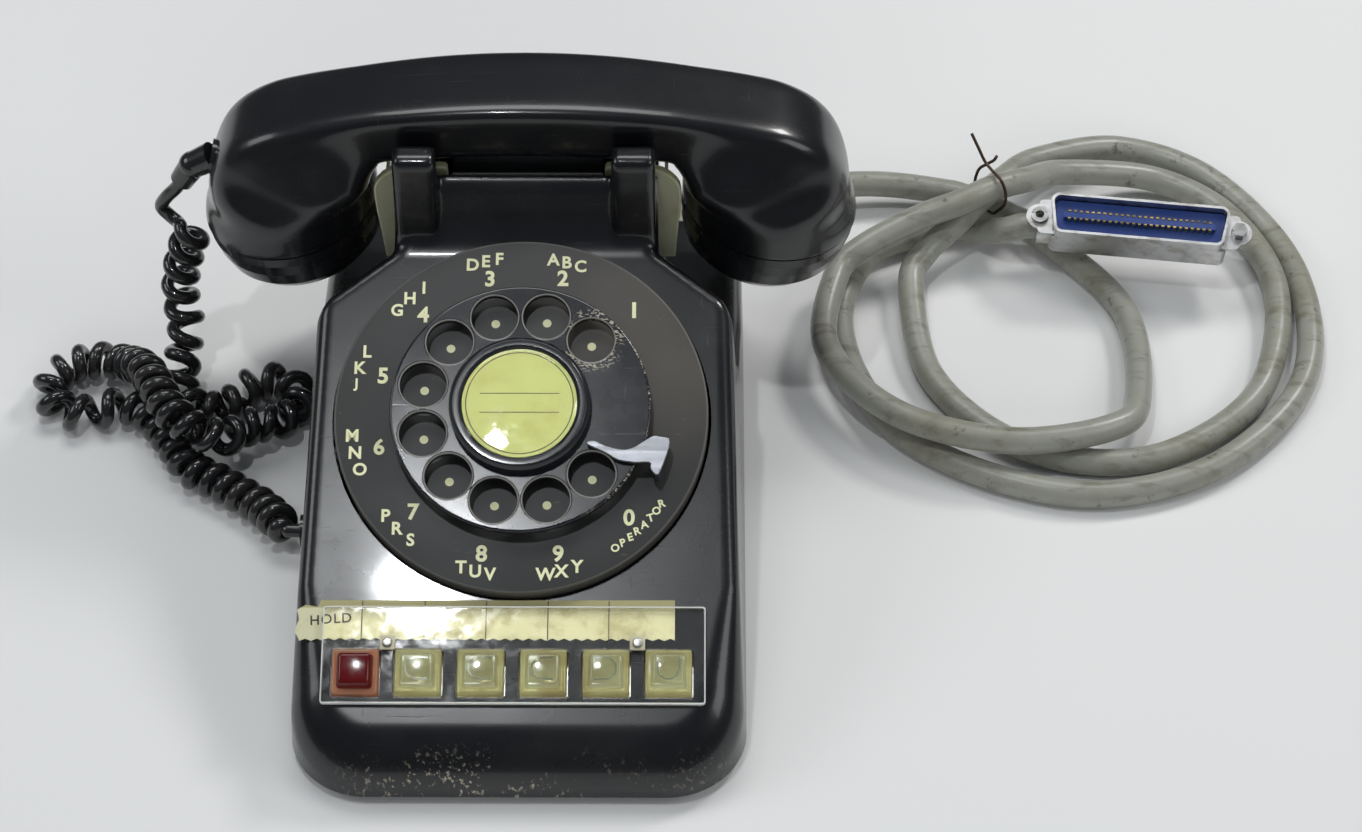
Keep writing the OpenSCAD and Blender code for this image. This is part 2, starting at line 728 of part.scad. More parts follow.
// A ring in the plane that leaves the point c in the direction dir, between two reaches;
// its outer half has squarer corners, the ridges, and is drawn in towards its top
function section(c, dir, inner, outer, half_w, square, ridge = 2, draw = 0) = [
    for (k = [0 : ring_points - 1])
        let (a = 360 / ring_points * k,
             power = 2 / (cos(a) > 0.001 ? ridge : square),
             up = signed_pow(cos(a), power),
             m = (inner + outer) / 2 + (outer - inner) / 2 * up,
             t = max(0, min(1, (up + 0.5) / 1.5)),
             w = half_w * signed_pow(sin(a), power) * (1 - draw * t * t * (3 - 2 * t)))
        [c[0] + dir[0] * m, handset_y + w, c[1] + dir[1] * m]
];
function handle_ring(x) =
    section([x, 0], [0, 1], under_z(x), arch_z(x), handle_half_w - x * x / 3060, 3.8, 7);
function fan_ring(f) =
    section([fan_x, fan_z], [sin(f[0]), cos(f[0])], f[1], f[2], f[3], f[4], f[5], f[6]);
function cup_ring(up, r) = section(
    [cup_x + up * sin(cup_lean), cup_z + up * cos(cup_lean)], [cos(cup_lean), -sin(cup_lean)], -r, r, r, 2);
half_rings = concat(
    [for (x = [12, 24, 36, fan_x]) handle_ring(x)],
    [for (f = fan) fan_ring(f)],
    [section([cup_x, cup_z + 5.5], [cos(cup_lean), -sin(cup_lean)], -cup_r + 0.2, cup_r - 0.3, cup_r + 0.4, 2), cup_ring(0, cup_r)]
);
function mirrored(ring) = [for (p = ring) [-p[0], p[1], p[2]]];
function reversed(list) = [for (i = [len(list) - 1 : -1 : 0]) list[i]];
handset_rings = concat([for (r = reversed(half_rings)) mirrored(r)], [handle_ring(0)], half_rings);

// A closed skin over rings that each have the same number of points
module skin(rings) {
    n = len(rings[0]);
    m = len(rings);
    sides = [for (i = [0 : m - 2], k = [0 : n - 1])
        let (a = i * n + k, b = i * n + (k + 1) % n) each [[a, b, b + n], [a, b + n, a + n]]];
    first = [for (k = [1 : n - 2]) [0, k + 1, k]];
    last = [for (k = [1 : n - 2]) [(m - 1) * n, (m - 1) * n + k, (m - 1) * n + k + 1]];
    polyhedron(points = [for (r = rings) each r], faces = concat(sides, first, last), convexity = 8);
}

// Moves children into a cup: z up its axis from the middle of the seam
module in_cup(side) {
    translate([side * cup_x, handset_y, cup_z]) rotate([0, side * cup_lean, 0]) children();
}

cavity_r = cup_r - 3;
module handset_handle() {
    color("#17181b") difference() {
        skin(handset_rings);
        for (side = [-1, 1]) in_cup(side) {
            translate([0, 0, -1]) cylinder(r = cavity_r, h = 8.5);
            cylinder(r = 22, h = 14);
        }
        translate(boot_root - fit_gap * boot_seat) rotate(heading([0, 0, 0], boot_seat))
            cylinder(r = 6.4 + fit_gap, h = 8);
        boot_body(fit_gap);
    }
}

// A cap screwed into a cup: a dished face and a threaded collar
module cap_body() {
    lip = cup_r - 0.2;
    rotate_extrude($fn = 96) polygon([
        [lip, -0.3], [lip, -4], [lip - 0.8, -9], [lip - 2.6, -15], [lip - 6, -cap_h + 1.2], [lip - 10, -cap_h],
        [lip - 16, -cap_h + 0.9], [0, -cap_h + 2.2], [0, -cap_h + 4.6], [lip - 16, -cap_h + 3.4],
        [cavity_r - 3.4, -cap_h + 4], [cavity_r - 2.6, -11], [cavity_r - 2.6, 7], [cavity_r - 0.3, 7],
        [cavity_r - 0.3, -0.3]
    ]);
}

module cap_holes(rings) {
    for (ring = rings, i = [0 : ring[1] - 1]) rotate(360 / ring[1] * i) translate([ring[0], 0, -cap_h - 2])
        cylinder(r = 1.1, h = 8, $fn = 16);
}

module transmitter_cap() {
    color("#17181b") in_cup(-1) difference() {
        cap_body();
        cap_holes([[0, 1], [4, 6], [8, 12]]);
    }
}

module receiver_cap() {
    color("#17181b") in_cup(1) difference() {
        cap_body();
        cap_holes([[0, 1], [4, 6]]);
    }
}

unit_r = cavity_r - 3;
face_in = -cap_h + 4.6;
module transmitter_unit() {
    color("#b8a060") in_cup(-1) {
        translate([0, 0, -10.5]) cylinder(r = unit_r, h = 9);
        translate([0, 0, -1.5 - eps]) cylinder(r = unit_r - 8, h = 8);
        translate([0, 0, face_in + fit_gap]) cylinder(r = 11, h = -10.4 - face_in);
    }
}

module receiver_unit() {
    color("#a8a8a0") in_cup(1) {
        translate([0, 0, -10.5]) cylinder(r = unit_r, h = 12);
        translate([0, 0, face_in + fit_gap]) cylinder(r = 11, h = -10.4 - face_in);
        for (y = [-8, 8]) translate([0, y, 1.5 - eps]) cylinder(r = 1.8, h = 3);
    }
}

// Strain relief at the transmitter end, in two tapering lengths
boot_root = [-111.2, handset_y, 100];
boot_seat = [-0.967, 0, 0.253];
boot_bend = [-119.5, handset_y, 96];
boot_tip = [-124.3, handset_y, 88.5];
function heading(a, b) = let (d = b - a) [0, acos(d[2] / norm(d)), atan2(d[1], d[0])];
module boot_body(grow = 0) {
    inner = boot_root + 0.9 * boot_seat;
    translate(inner) rotate(heading(inner, boot_bend))
        cylinder(r1 = 5.4 + grow, r2 = 4.9 + grow, h = norm(boot_bend - inner));
    translate(boot_bend) sphere(5.1 + grow);
    translate(boot_bend) rotate(heading(boot_bend, boot_tip))
        cylinder(r1 = 4.9 + grow, r2 = 4.3 + grow, h = norm(boot_tip - boot_bend));
}
module handset_boot() {
    color("#1b1b1c") {
        translate(boot_root) rotate(heading([0, 0, 0], boot_seat)) cylinder(r = 6.4, h = 1.6);
        boot_body();
    }
}

// Cradle plungers and hook switch
plunger_t = 3.2;
plunger_y = 75;
plunger_top = 108.6;
plunger_foot = 52;
rib_top = handset_top - handle_t - 1.9 - fit_gap;
module plunger() {
    along_y(plunger_y, plunger_y + plunger_t) polygon([
        [27.5, plunger_foot], [27.5, plunger_top - 1], [29, plunger_top], [44, plunger_top - 1],
        [49, plunger_top - 3], [52.8, plunger_top - 7], [54.2, plunger_top - 11], [54.2, 92], [53.2, 80],
        [52, 64], [41, 64], [41, plunger_foot]
    ]);
    along_y(plunger_y + plunger_t - eps, 90) polygon([
        [35.8, plunger_foot], [35.8, rib_top], [37, rib_top], [38, rib_top - 0.4], [38, plunger_foot]
    ]);
    along_y(plunger_y + plunger_t - eps, 86) polygon([[48.4, 64], [48.4, 104.5], [49.6, 103.6], [49.6, 64]]);
}
module plunger_left() { color([0.85, 0.85, 0.7, 0.6]) mirror([1, 0, 0]) plunger(); }
module plunger_right() { color([0.85, 0.85, 0.7, 0.6]) plunger(); }

pivot_y = 104;
pivot_z = 45;
pin_r = 2;
module hook_bracket() {
    color("#9a9c96") {
        for (sx = [-1, 1]) along_x(sx * 22 - 0.8, sx * 22 + 0.8) polygon([
            [98, plate_top], [111, plate_top], [109, 48.5], [102, 48.5], [102, 42], [98, 30]
        ]);
        translate([-22, 98, plate_top]) cube([44, 13, 1.5]);
        translate([-29.5, pivot_y, pivot_z]) rotate([0, 90, 0]) cylinder(r = pin_r, h = 59);
    }
}

// The lever: two arms under the plungers, joined by a bar and hung on the pin behind it
module hook_lever() {
    arm_top = plunger_foot - fit_gap;
    color("#b9bbb4") difference() {
        union() {
            for (sx = [-1, 1]) translate([sx * 34 - 7, 74.5, arm_top - 2]) cube([14, 24, 2]);
            translate([-41, 97, arm_top - 4]) cube([82, 3.5, 4]);
            for (sx = [-1, 1]) along_x(sx * 27 - 1, sx * 27 + 1)
                polygon([[97, arm_top - 1], [107.5, 48], [107.5, 41.5], [97, 46]]);
        }
        translate([-40, pivot_y, pivot_z]) rotate([0, 90, 0]) cylinder(r = pin_r + running, h = 80);
    }
}

module hook_contacts() {
    color("#c9b05a") {
        translate([12, 102, plate_top + 1.5]) cube([8, 8, 26]);
        for (i = [0 : 3]) translate([12.8 + 1.8 * i, 86, 27]) cube([0.8, 16 + eps, 5]);
    }
}

// Network block with its terminal screws
module network_block() {
    color("#6b6a5e") {
        translate([8, 22, plate_top]) cube([34, 50, 28]);
        translate([42 - eps, 30, plate_top]) cube([20, 40, 22]);
        for (i = [0 : 5], j = [0, 1]) translate([14 + 22 * j, 27 + 8 * i, plate_top + 28 - eps])
            cylinder(r = 2, h = 2);
    }
}

// Ringer
gong_r = 18;
gong_x = 31 - side_x;
gong_y = [rear_y - 67, rear_y - 29];
gong_z = 15;
bell_mid = (gong_y[0] + gong_y[1]) / 2;
gong_places = [for (y = gong_y) [gong_x, y, gong_z]];
clapper_x = gong_x + 26.5;
module ringer_frame() {
    color("#9a9c96") {
        translate([gong_x - 14, gong_y[0] - 8, plate_top]) cube([64, 48, 1.5]);
        for (p = gong_places) translate([p[0], p[1], plate_top]) {
            cylinder(r = 4, h = gong_z + 9 - plate_top);
            cylinder(r = 1.9, h = gong_z + 13 - plate_top);
            translate([0, 0, gong_z + 11.2 - plate_top]) cylinder(r = 3.4, h = 2.4);
        }
        translate([clapper_x, bell_mid, plate_top]) {
            cylinder(r = 3, h = 5.9);
            cylinder(r = 1.5, h = 14);
        }
        for (y = [gong_y[0] + 0.4, gong_y[1] - 2]) translate([clapper_x + 4.5, y, plate_top]) cube([18, 1.6, 20]);
    }
}

module gong(i) {
    color("#b58f3c") translate(gong_places[i]) rotate_extrude($fn = 96) polygon([
        [2, 9.1], [9, 9.1], [13, 8], [15.8, 5], [17, 0],
        [gong_r, 0], [16.9, 5.6], [13.6, 9.4], [9.4, 10.9], [2, 10.9]
    ]);
}
module gong_left() { gong(0); }
module gong_right() { gong(1); }

module ringer_coil() {
    color("#7a3b22") translate([clapper_x + 13.5, gong_y[0] + 2.1, 17]) rotate([-90, 0, 0])
        cylinder(r = 8, h = gong_y[1] - gong_y[0] - 4.2);
}

hammer_x = clapper_x - 17;
module clapper() {
    color("#b9bbb4") difference() {
        union() {
            translate([clapper_x, bell_mid, 12]) cylinder(r = 3, h = 5);
            translate([hammer_x, bell_mid - 0.6, 13.4]) cube([21, 1.2, 2.2]);
            translate([hammer_x, bell_mid, 17.5]) sphere(2.6);
            translate([hammer_x, bell_mid, 13.4]) cylinder(r = 0.9, h = 4);
        }
        translate([clapper_x, bell_mid, 11]) cylinder(r = 1.5 + running, h = 8);
    }
}

// The wheel turns on a pin that stands on the base plate, and shows in the plate's window
module loudness_wheel() {
    color("#303030") translate([wheel_x, wheel_y, plate_top + fit_gap]) {
        linear_extrude(height = 4) difference() {
            union() {
                circle(10.4);
                for (i = [0 : 17]) rotate(20 * i) translate([10.2, 0]) circle(0.8, $fn = 16);
            }
            circle(2 + running);
        }
    }
}

// Free cords
// A smooth curve through a list of points; a fourth number in each is the pitch of the curls there
function spline_at(a, b, c, d, t) = 0.5 * (2 * b + (c - a) * t + (2 * a - 5 * b + 4 * c - d) * t * t
    + (3 * b - a - 3 * c + d) * t * t * t);
function smooth(p, steps) = [
    for (i = [0 : len(p) - 2], s = [0 : steps - 1])
        spline_at(p[max(i - 1, 0)], p[i], p[i + 1], p[min(i + 2, len(p) - 1)], s / steps),
    p[len(p) - 1]
];
function xyz(p) = [p[0], p[1], p[2]];
function unit(v) = v / norm(v);
function tangent(c, i) = unit(xyz(c[min(i + 1, len(c) - 1)]) - xyz(c[max(i - 1, 0)]));
function square_to(v, t) = unit(v - (v * t) * t);
// Frames that turn no more than the curve does
function side_vectors(c, start) = [
    for (i = 0, u = square_to(start, tangent(c, 0)); i < len(c);
         i = i + 1, u = i < len(c) ? square_to(u, tangent(c, i)) : u) u
];

module tube(c, d, sides, start = [0, 0.1, 1]) {
    u = side_vectors(c, start);
    rings = [for (i = [0 : len(c) - 1])
        let (t = tangent(c, i), w = cross(t, u[i]))
        [for (k = [0 : sides - 1])
            xyz(c[i]) + d / 2 * (cos(-360 * k / sides) * u[i] + sin(-360 * k / sides) * w)]];
    skin(rings);
}

// Smallest distance between points at least skip places apart, less the diameter
function least_gap(c, d, skip) = min([
    for (i = [0 : len(c) - 1 - skip]) min([for (j = [i + skip : len(c) - 1]) norm(c[i] - c[j])])
]) - d;

// Middle line of the handset cord from the boot to the base, with the pitch of its curls
cord_route = [
    [-122, 85, 68, 9], [-126, 85, 57, 9.5], [-129, 84, 46, 9.5], [-130, 82, 35, 9.5], [-129, 78.5, 25, 9.5],
    [-130.5, 72.5, 16, 9], [-130.5, 59.5, 10, 9.25], [-125, 53, 8, 9], [-117.5, 52, 7.5, 8.5],
    [-111, 55.5, 7.5, 8.75], [-105.5, 63.5, 7.5, 8.75], [-98.5, 66.5, 7.5, 8.75], [-91, 64.5, 7.5, 9.5],
    [-86.5, 58, 7.5, 9.5], [-87.5, 50, 8, 9.5], [-93.5, 44, 9.5, 7.5], [-100.5, 41.5, 11, 7],
    [-105, 38.5, 12, 8], [-109.5, 33, 14, 9.5], [-114, 30, 17, 9.5], [-119.5, 29.5, 20, 8.5],
    [-125.5, 32.5, 22, 7.25], [-131.5, 39, 22, 6.75], [-137, 49.5, 22, 7], [-143.5, 61.5, 19, 7],
    [-152.5, 72.5, 10, 8.25], [-161, 76, 8, 8], [-170, 75, 7.5, 7.5], [-177, 69.5, 7.5, 8.5],
    [-179.5, 62, 7.5, 9.5], [-177, 54.5, 7.5, 9.5], [-171, 50.5, 7.5, 10], [-163.5, 50, 7.5, 11],
    [-155.5, 53, 7.5, 10.25], [-148.5, 53, 7.5, 9.25], [-142.5, 49.5, 7.5, 8], [-135.5, 41.5, 7.5, 6.75],
    [-129, 31.5, 7.5, 6.75], [-123, 22.5, 7.5, 7], [-113, 16.5, 7.5, 6.5], [-103.5, 10, 7.5, 6.5],
    [-95, 3.5, 8, 6.5], [-85, -10, 12, 6]
];
curl_steps = 8;
cord_fine = smooth(cord_route, 10);
cord_sides = side_vectors(cord_fine, [-1, 0, 0]);
cord_phase = [
    for (i = 0, s = 0; i < len(cord_fine);
         i = i + 1,
         s = i < len(cord_fine) ? s + norm(xyz(cord_fine[i]) - xyz(cord_fine[i - 1])) / cord_fine[i][3] : s) s
];
curl_total = cord_phase[len(cord_phase) - 1];
phase_table = [for (i = [0 : len(cord_phase) - 1]) [cord_phase[i], i]];
function mix(a, b, t) = a + (b - a) * t;
function curl_point(k) =
    let (turn = min(k / curl_steps, curl_total), f = lookup(turn, phase_table),
         i = min(floor(f), len(cord_fine) - 2), t = f - i,
         c = mix(xyz(cord_fine[i]), xyz(cord_fine[i + 1]), t),
         u = unit(mix(cord_sides[i], cord_sides[i + 1], t)), w = cross(tangent(cord_fine, i), u),
         grow = min(1, (curl_total - turn) / 0.9), r = curl_d / 2 * grow * grow * (3 - 2 * grow))
    c + r * (cos(360 * turn) * u - sin(360 * turn) * w);
boot_exit = boot_tip + 0.2 * unit(boot_tip - boot_bend);
cord_lead = smooth([
    boot_exit, boot_exit + cord_d * unit(boot_tip - boot_bend), [-131, 89.5, 79.5], [-133.5, 90.5, 74],
    [-131, 90, 70], [-128, 88, 68.6], curl_point(0)
], 3);
cord_tail = [[-body_w / 2 - 3.4 - cord_d, grommet_y, grommet_z], [-body_w / 2 - 3.4, grommet_y, grommet_z]];
cord_wire = concat(
    cord_lead, [for (k = [1 : floor(curl_total * curl_steps)]) curl_point(k)], cord_tail
);
module handset_cord() {
    echo(curls = curl_total, rings = len(cord_wire), least_gap = least_gap(cord_wire, cord_d, 5));
    color("#141414") tube(cord_wire, cord_d, 6, [0, 1, 0]);
}

module cord_grommet() {
    color("#1b1b1c") translate([-body_w / 2, grommet_y, grommet_z]) rotate([0, 90, 0]) {
        translate([0, 0, -3.2]) cylinder(r = 5.8, h = 3.1);
        translate([0, 0, -1]) cylinder(r = 4.3, h = 6);
    }
}

// Middle line of the line cable from the back of the housing, through three loops, to the plug
cable_route = [
    [45, 122, 15], [45, 127, 15], [48, 135, 15], [66, 154, 14], [120, 168, 11], [156, 167, 8], [170, 162, 6.5],
    [182, 156, 5.5], [192, 146, 5.5], [221, 106, 5.5], [222, 57, 10], [210, 38, 14], [172, 29, 17],
    [132, 43, 16.5], [108, 76, 15.5],
    [112, 112, 16.5], [122, 124, 19.5], [144, 136, 24], [160, 140, 28.5], [172, 147, 29], [186, 156, 25],
    [202, 168, 17.5], [239, 174, 8], [266, 153, 7.5], [279.5, 113, 7.5], [268, 64, 5.5], [233, 34, 5],
    [198, 30, 5], [168, 44, 5], [146, 74, 5], [141, 116, 8], [147, 130, 11.5], [158, 140, 16],
    [167, 149, 19.5], [178, 162, 19.5],
    [193, 178, 15], [227, 192, 7.5], [262, 176, 5], [288, 128, 5], [286, 72, 5], [252, 30, 5], [208, 14, 5],
    [167, 22, 5], [134, 44, 5], [118, 74, 5], [114, 104, 5], [122, 130, 5], [132, 140, 5], [156, 149, 5.5],
    [168, 145, 8.5], [177, 138, 15.5], [183.5, 136.2, 19.4], [189.4, 135.5, 20.7], [193, 135.1, 20.8]
];
// The cable lies on the table and not in it
function on_table(curve) = [for (p = curve) [p[0], p[1], max(p[2], cable_d / 2)]];
module line_cable() {
    cable = on_table(smooth(cable_route, 2));
    fine = on_table(smooth(cable_route, 8));
    echo(cable_length = sum_steps(fine), cable_gap = least_gap(fine, cable_d, 20));
    color("#8f9184") tube(cable, cable_d, 12);
}
function sum_steps(c) = [for (i = 1, s = 0; i < len(c); s = s + norm(c[i] - c[i - 1]), i = i + 1) s
    + norm(c[i] - c[i - 1])][len(c) - 2];

module cable_clamp() {
    color("#1b1b1c") translate([clamp_x, 0, clamp_z]) rotate([-90, 0, 0]) {
        translate([0, 0, 112]) cylinder(r = 8, h = 3);
        translate([0, 0, 114]) cylinder(r = cable_d / 2 + 1.35, h = 7.7);
    }
}

// Plug on the end of the line cable, face up on top of the loops
plug_at = [226.5, 126.5, 33];
plug_turn = -7;
plug_tilt = 20;
module in_plug() {
    translate(plug_at) rotate([0, 0, plug_turn]) rotate([plug_tilt, 0, 0]) children();
}

// The outline of the collar, wider along its upper side
module plug_outline(w, h, r) {
    round_rect(w - 3, h, r);
    translate([0, h / 2 - r]) for (sx = [-1, 1]) translate([sx * (w / 2 - r), 0]) circle(r);
    polygon([
        [-w / 2, h / 2 - r], [-(w - 3) / 2, -h / 2 + r], [(w - 3) / 2, -h / 2 + r], [w / 2, h / 2 - r],
        [w / 2 - r, h / 2], [-w / 2 + r, h / 2]
    ]);
}

flange_h = -6;
hood_depth = 12;
module connector_shell() {
    color("#c4c6c4") in_plug() difference() {
        union() {
            translate([0, 0, flange_h]) linear_extrude(height = -flange_h) plug_outline(67, 16.4, 3.2);
            translate([0, 0, flange_h]) linear_extrude(height = 1.2) {
                round_rect(76, 14, 2);
                for (sx = [-1, 1]) translate([sx * 37.5, 0]) circle(5);
            }
            translate([0, 0, flange_h - hood_depth])
                linear_extrude(height = hood_depth + eps) round_rect(67, 16, 3);
            translate([-38, 0, flange_h - 7]) rotate([0, 90, 0]) cylinder(r = cable_d / 2 + 1.8, h = 8);
        }
        translate([0, 0, flange_h - 1]) linear_extrude(height = 10) plug_outline(65, 14.4, 2.4);
        translate([0, 0, flange_h - hood_depth + 1.2])
            linear_extrude(height = hood_depth) round_rect(64.6, 13.6, 2);
        translate([-45, 0, flange_h - 7]) rotate([0, 90, 0]) cylinder(r = cable_d / 2 + 0.4, h = 14);
        for (sx = [-1, 1]) translate([sx * 37.5, 0, -20]) cylinder(r = 1.7, h = 20);
    }
}

contact_pitch = 2.2;
contact_row = 25;
module connector_insulator() {
    color("#1f3f9a") in_plug() {
        translate([0, 0, flange_h - 2]) linear_extrude(height = 3) round_rect(63.6, 13.2, 2);
        translate([0, 0, flange_h + 1 - eps]) linear_extrude(height = 1 + eps)
            plug_outline(64.4, 13.8, 2.1);
        translate([-28.5, -1.2, flange_h]) cube([57, 2.4, 4.6]);
    }
}

module connector_contacts() {
    color("#c9a24a") in_plug() for (i = [0 : contact_row - 1], sy = [-1, 1])
        translate([(i - (contact_row - 1) / 2) * contact_pitch - 0.55, sy * 1.55 - 0.34, flange_h + 2])
            cube([1.1, 0.68, 2.9]);
}

module connector_screws() {
    color("silver") in_plug() {
        translate([-37.5, 0, flange_h + 1.2]) difference() {
            cylinder(r = 3.2, h = 1.6);
            translate([0, 0, -1]) cylinder(r = 1.6, h = 4);
        }
        translate([37.5, 0, flange_h - 5]) cylinder(r = 1.6, h = 7);
        translate([37.5, 0, flange_h + 1.2]) cylinder(r = 3, h = 3.4, $fn = 6);
    }
}

// A turn of wire round the crossing strands, its ends left long
tie_at = [172, 150];
tie_turn = 33.5;
// Across the strands, height, and along them
tie_route = [
    [14, 44, 0], [9, 40, 0], [4.6, 36.6, 0], [0, 35.6, 0], [-5.6, 35, 0], [-9, 31, 0], [-9, 25, 0],
    [-5.4, 18.6, 0], [-2.6, 15, 0], [2, 13.9, 0], [6.4, 14.8, 0], [9.2, 17.6, 0], [9.6, 22.4, 0],
    [8.6, 29, 0.6], [5.6, 33.6, 1.8], [2.4, 37.8, 2.4], [1, 41, 2.4]
];
function tie_point(p) = [
    tie_at[0] - p[0] * sin(tie_turn) + p[2] * cos(tie_turn),
    tie_at[1] + p[0] * cos(tie_turn) + p[2] * sin(tie_turn),
    p[1]
];
tie_points = [for (p = tie_route) tie_point(p)];
module wire_tie() {
    echo(tie_gap = least_gap(smooth(tie_points, 6), 1.2, 8));
    color("#4b4a44") tube(smooth(tie_points, 2), 1.2, 6);
}

// Every sub-part, drawn together or one at a time
housing();
base_plate();
rubber_feet();
housing_screws();
number_plate();
finger_stop();
dial_frame();
dial_brackets();
finger_wheel();
card_ring();
number_card();
card_window();
dial_shaft();
main_gear();
pulsing_pinion();
governor();
mainspring();
pulse_contacts();
key_frame();
hold_button();
hold_lens();
line_button_1();
line_button_2();
line_button_3();
line_button_4();
line_button_5();
latch_bar();
face_plate();
face_plate_clips();
designation_strip();
key_lamps();
key_contacts();
handset_handle();
transmitter_cap();
receiver_cap();
transmitter_unit();
receiver_unit();
handset_boot();
plunger_left();
plunger_right();
hook_bracket();
hook_lever();
hook_contacts();
network_block();
ringer_frame();
ringer_coil();
gong_left();
gong_right();
clapper();
loudness_wheel();
handset_cord();
cord_grommet();
line_cable();
cable_clamp();
connector_shell();
connector_insulator();
connector_contacts();
connector_screws();
wire_tie();
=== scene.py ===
"""Looks of a desk telephone with a rotary dial, line keys, a curly cord and a line cable.

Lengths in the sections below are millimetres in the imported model's frame: X right, Y back, Z up.
Points on the sloping face are given as (x, v, h): right, up the slope, and out of the face.
"""

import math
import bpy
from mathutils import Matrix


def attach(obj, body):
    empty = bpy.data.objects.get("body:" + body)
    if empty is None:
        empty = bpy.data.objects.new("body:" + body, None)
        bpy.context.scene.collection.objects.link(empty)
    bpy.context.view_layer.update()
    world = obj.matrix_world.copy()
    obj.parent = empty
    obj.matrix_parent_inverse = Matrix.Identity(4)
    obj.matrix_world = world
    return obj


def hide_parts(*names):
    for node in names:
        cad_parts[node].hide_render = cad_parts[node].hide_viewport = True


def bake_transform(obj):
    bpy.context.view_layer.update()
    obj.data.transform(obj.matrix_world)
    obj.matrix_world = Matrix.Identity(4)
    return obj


bl_info = {
    "name": "Rotary Desk Telephone",
    "version": (1, 0, 0),
    "blender": (4, 5, 0),
    "location": "3D View > Sidebar > Telephone",
    "description": "Dresses the packed telephone with detailed pieces and materials",
    "category": "Object",
}

import bmesh
import bpy
import numpy as np
from mathutils import Matrix, Vector

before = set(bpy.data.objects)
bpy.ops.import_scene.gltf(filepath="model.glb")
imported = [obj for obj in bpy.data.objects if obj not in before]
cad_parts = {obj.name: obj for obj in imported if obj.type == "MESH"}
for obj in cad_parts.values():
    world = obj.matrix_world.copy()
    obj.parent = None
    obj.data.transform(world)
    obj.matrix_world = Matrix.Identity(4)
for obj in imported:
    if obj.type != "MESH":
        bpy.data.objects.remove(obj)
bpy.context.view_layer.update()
MM = 0.001

# Frame of the sloping face
SLOPE = math.radians(22)
DIAL_CENTRE = np.array([0.0, -5.3, 66.2])
FACE_UP = np.array([0.0, math.cos(SLOPE), math.sin(SLOPE)])
FACE_OUT = np.array([0.0, -math.sin(SLOPE), math.cos(SLOPE)])

# Camera of the photograph
CAMERA_TARGET = (53.84, 55.8, 0.0)
CAMERA_DISTANCE = 1200.0
CAMERA_ELEVATION = 48.0
CAMERA_HEADING = -0.63
CAMERA_ROLL = -0.35
CAMERA_LENS = 85.68


def face_point(x, v, h):
    """World place of a point on the face, in millimetres."""
    p = DIAL_CENTRE + np.multiply.outer(np.asarray(v, float), FACE_UP)
    p = p + np.multiply.outer(np.asarray(h, float), FACE_OUT)
    p[..., 0] += x
    return p


def face_matrix(x=0.0, v=0.0, h=0.0, turn=0.0):
    """Matrix from a flat drawing (X right, Y up the slope, Z out of the face) to the world."""
    m = Matrix(((1, 0, 0, 0), (0, FACE_UP[1], FACE_OUT[1], 0), (0, FACE_UP[2], FACE_OUT[2], 0), (0, 0, 0, 1)))
    origin = Matrix.Translation(Vector(DIAL_CENTRE))
    return origin @ m @ Matrix.Translation((x, v, h)) @ Matrix.Rotation(turn, 4, "Z")


# Curves and tubes
def spline(points, steps):
    """Uniform Catmull-Rom curve through points, steps places to a span."""
    p = np.asarray(points, float)
    n = len(p)
    out = []
    for i in range(n - 1):
        a, b, c, d = p[max(i - 1, 0)], p[i], p[i + 1], p[min(i + 2, n - 1)]
        for s in range(steps):
            t = s / steps
            out.append(0.5 * (2 * b + (c - a) * t + (2 * a - 5 * b + 4 * c - d) * t * t
                              + (3 * b - a - 3 * c + d) * t ** 3))
    out.append(p[-1])
    return np.array(out)


def unit(v):
    """Vectors of length one."""
    return v / np.linalg.norm(v, axis=-1, keepdims=True)


def tangents(curve):
    """Unit vectors along the curve."""
    ahead = np.vstack([curve[1:], curve[-1:]])
    behind = np.vstack([curve[:1], curve[:-1]])
    return unit(ahead - behind)


def side_vectors(curve, start):
    """Unit vectors square to the curve that turn no more than it does."""
    u = np.asarray(start, float)
    out = []
    for t in tangents(curve):
        u = u - (u @ t) * t
        u = u / np.linalg.norm(u)
        out.append(u)
    return np.array(out)


def tube_mesh(curve, radius, sides, start):
    """Vertices and faces of a closed tube: c + r (cos a u + sin a w)."""
    u = side_vectors(curve, start)
    w = np.cross(tangents(curve), u)
    a = -2 * math.pi * np.arange(sides) / sides
    out = np.cos(a)[None, :, None] * u[:, None, :] + np.sin(a)[None, :, None] * w[:, None, :]
    verts = (curve[:, None, :] + radius * out).reshape(-1, 3)
    faces = grid_faces(len(curve), sides, True)
    faces += [tuple(range(sides - 1, -1, -1)), tuple((len(curve) - 1) * sides + k for k in range(sides))]
    return verts, faces


def grid_faces(rows, columns, wrap):
    """Quads of a grid of points, wrapped round in its columns or not."""
    last = columns if wrap else columns - 1
    quads = []
    for i in range(rows - 1):
        for k in range(last):
            a = i * columns + k
            b = i * columns + (k + 1) % columns
            quads.append((a, b, b + columns, a + columns))
    return quads


# Meshes
def linked(name, data):
    """A new object in the scene."""
    obj = bpy.data.objects.new(name, data)
    bpy.context.scene.collection.objects.link(obj)
    return obj


def mesh_from(bm, name):
    """A mesh out of a finished BMesh."""
    mesh = bpy.data.meshes.new(name)
    bm.to_mesh(mesh)
    bm.free()
    return mesh


def new_object(name, verts, faces, scale=MM):
    """A mesh object at the origin whose points are given in millimetres."""
    mesh = bpy.data.meshes.new(name)
    mesh.from_pydata((np.asarray(verts, float) * scale).tolist(), [], faces)
    mesh.validate()
    obj = linked(name, mesh)
    tidy(obj)
    return obj


def merge_points(obj, reach):
    """Makes one point of those within a reach of each other."""
    bm = bmesh.new()
    bm.from_mesh(obj.data)
    bmesh.ops.remove_doubles(bm, verts=bm.verts, dist=reach)
    bm.to_mesh(obj.data)
    bm.free()


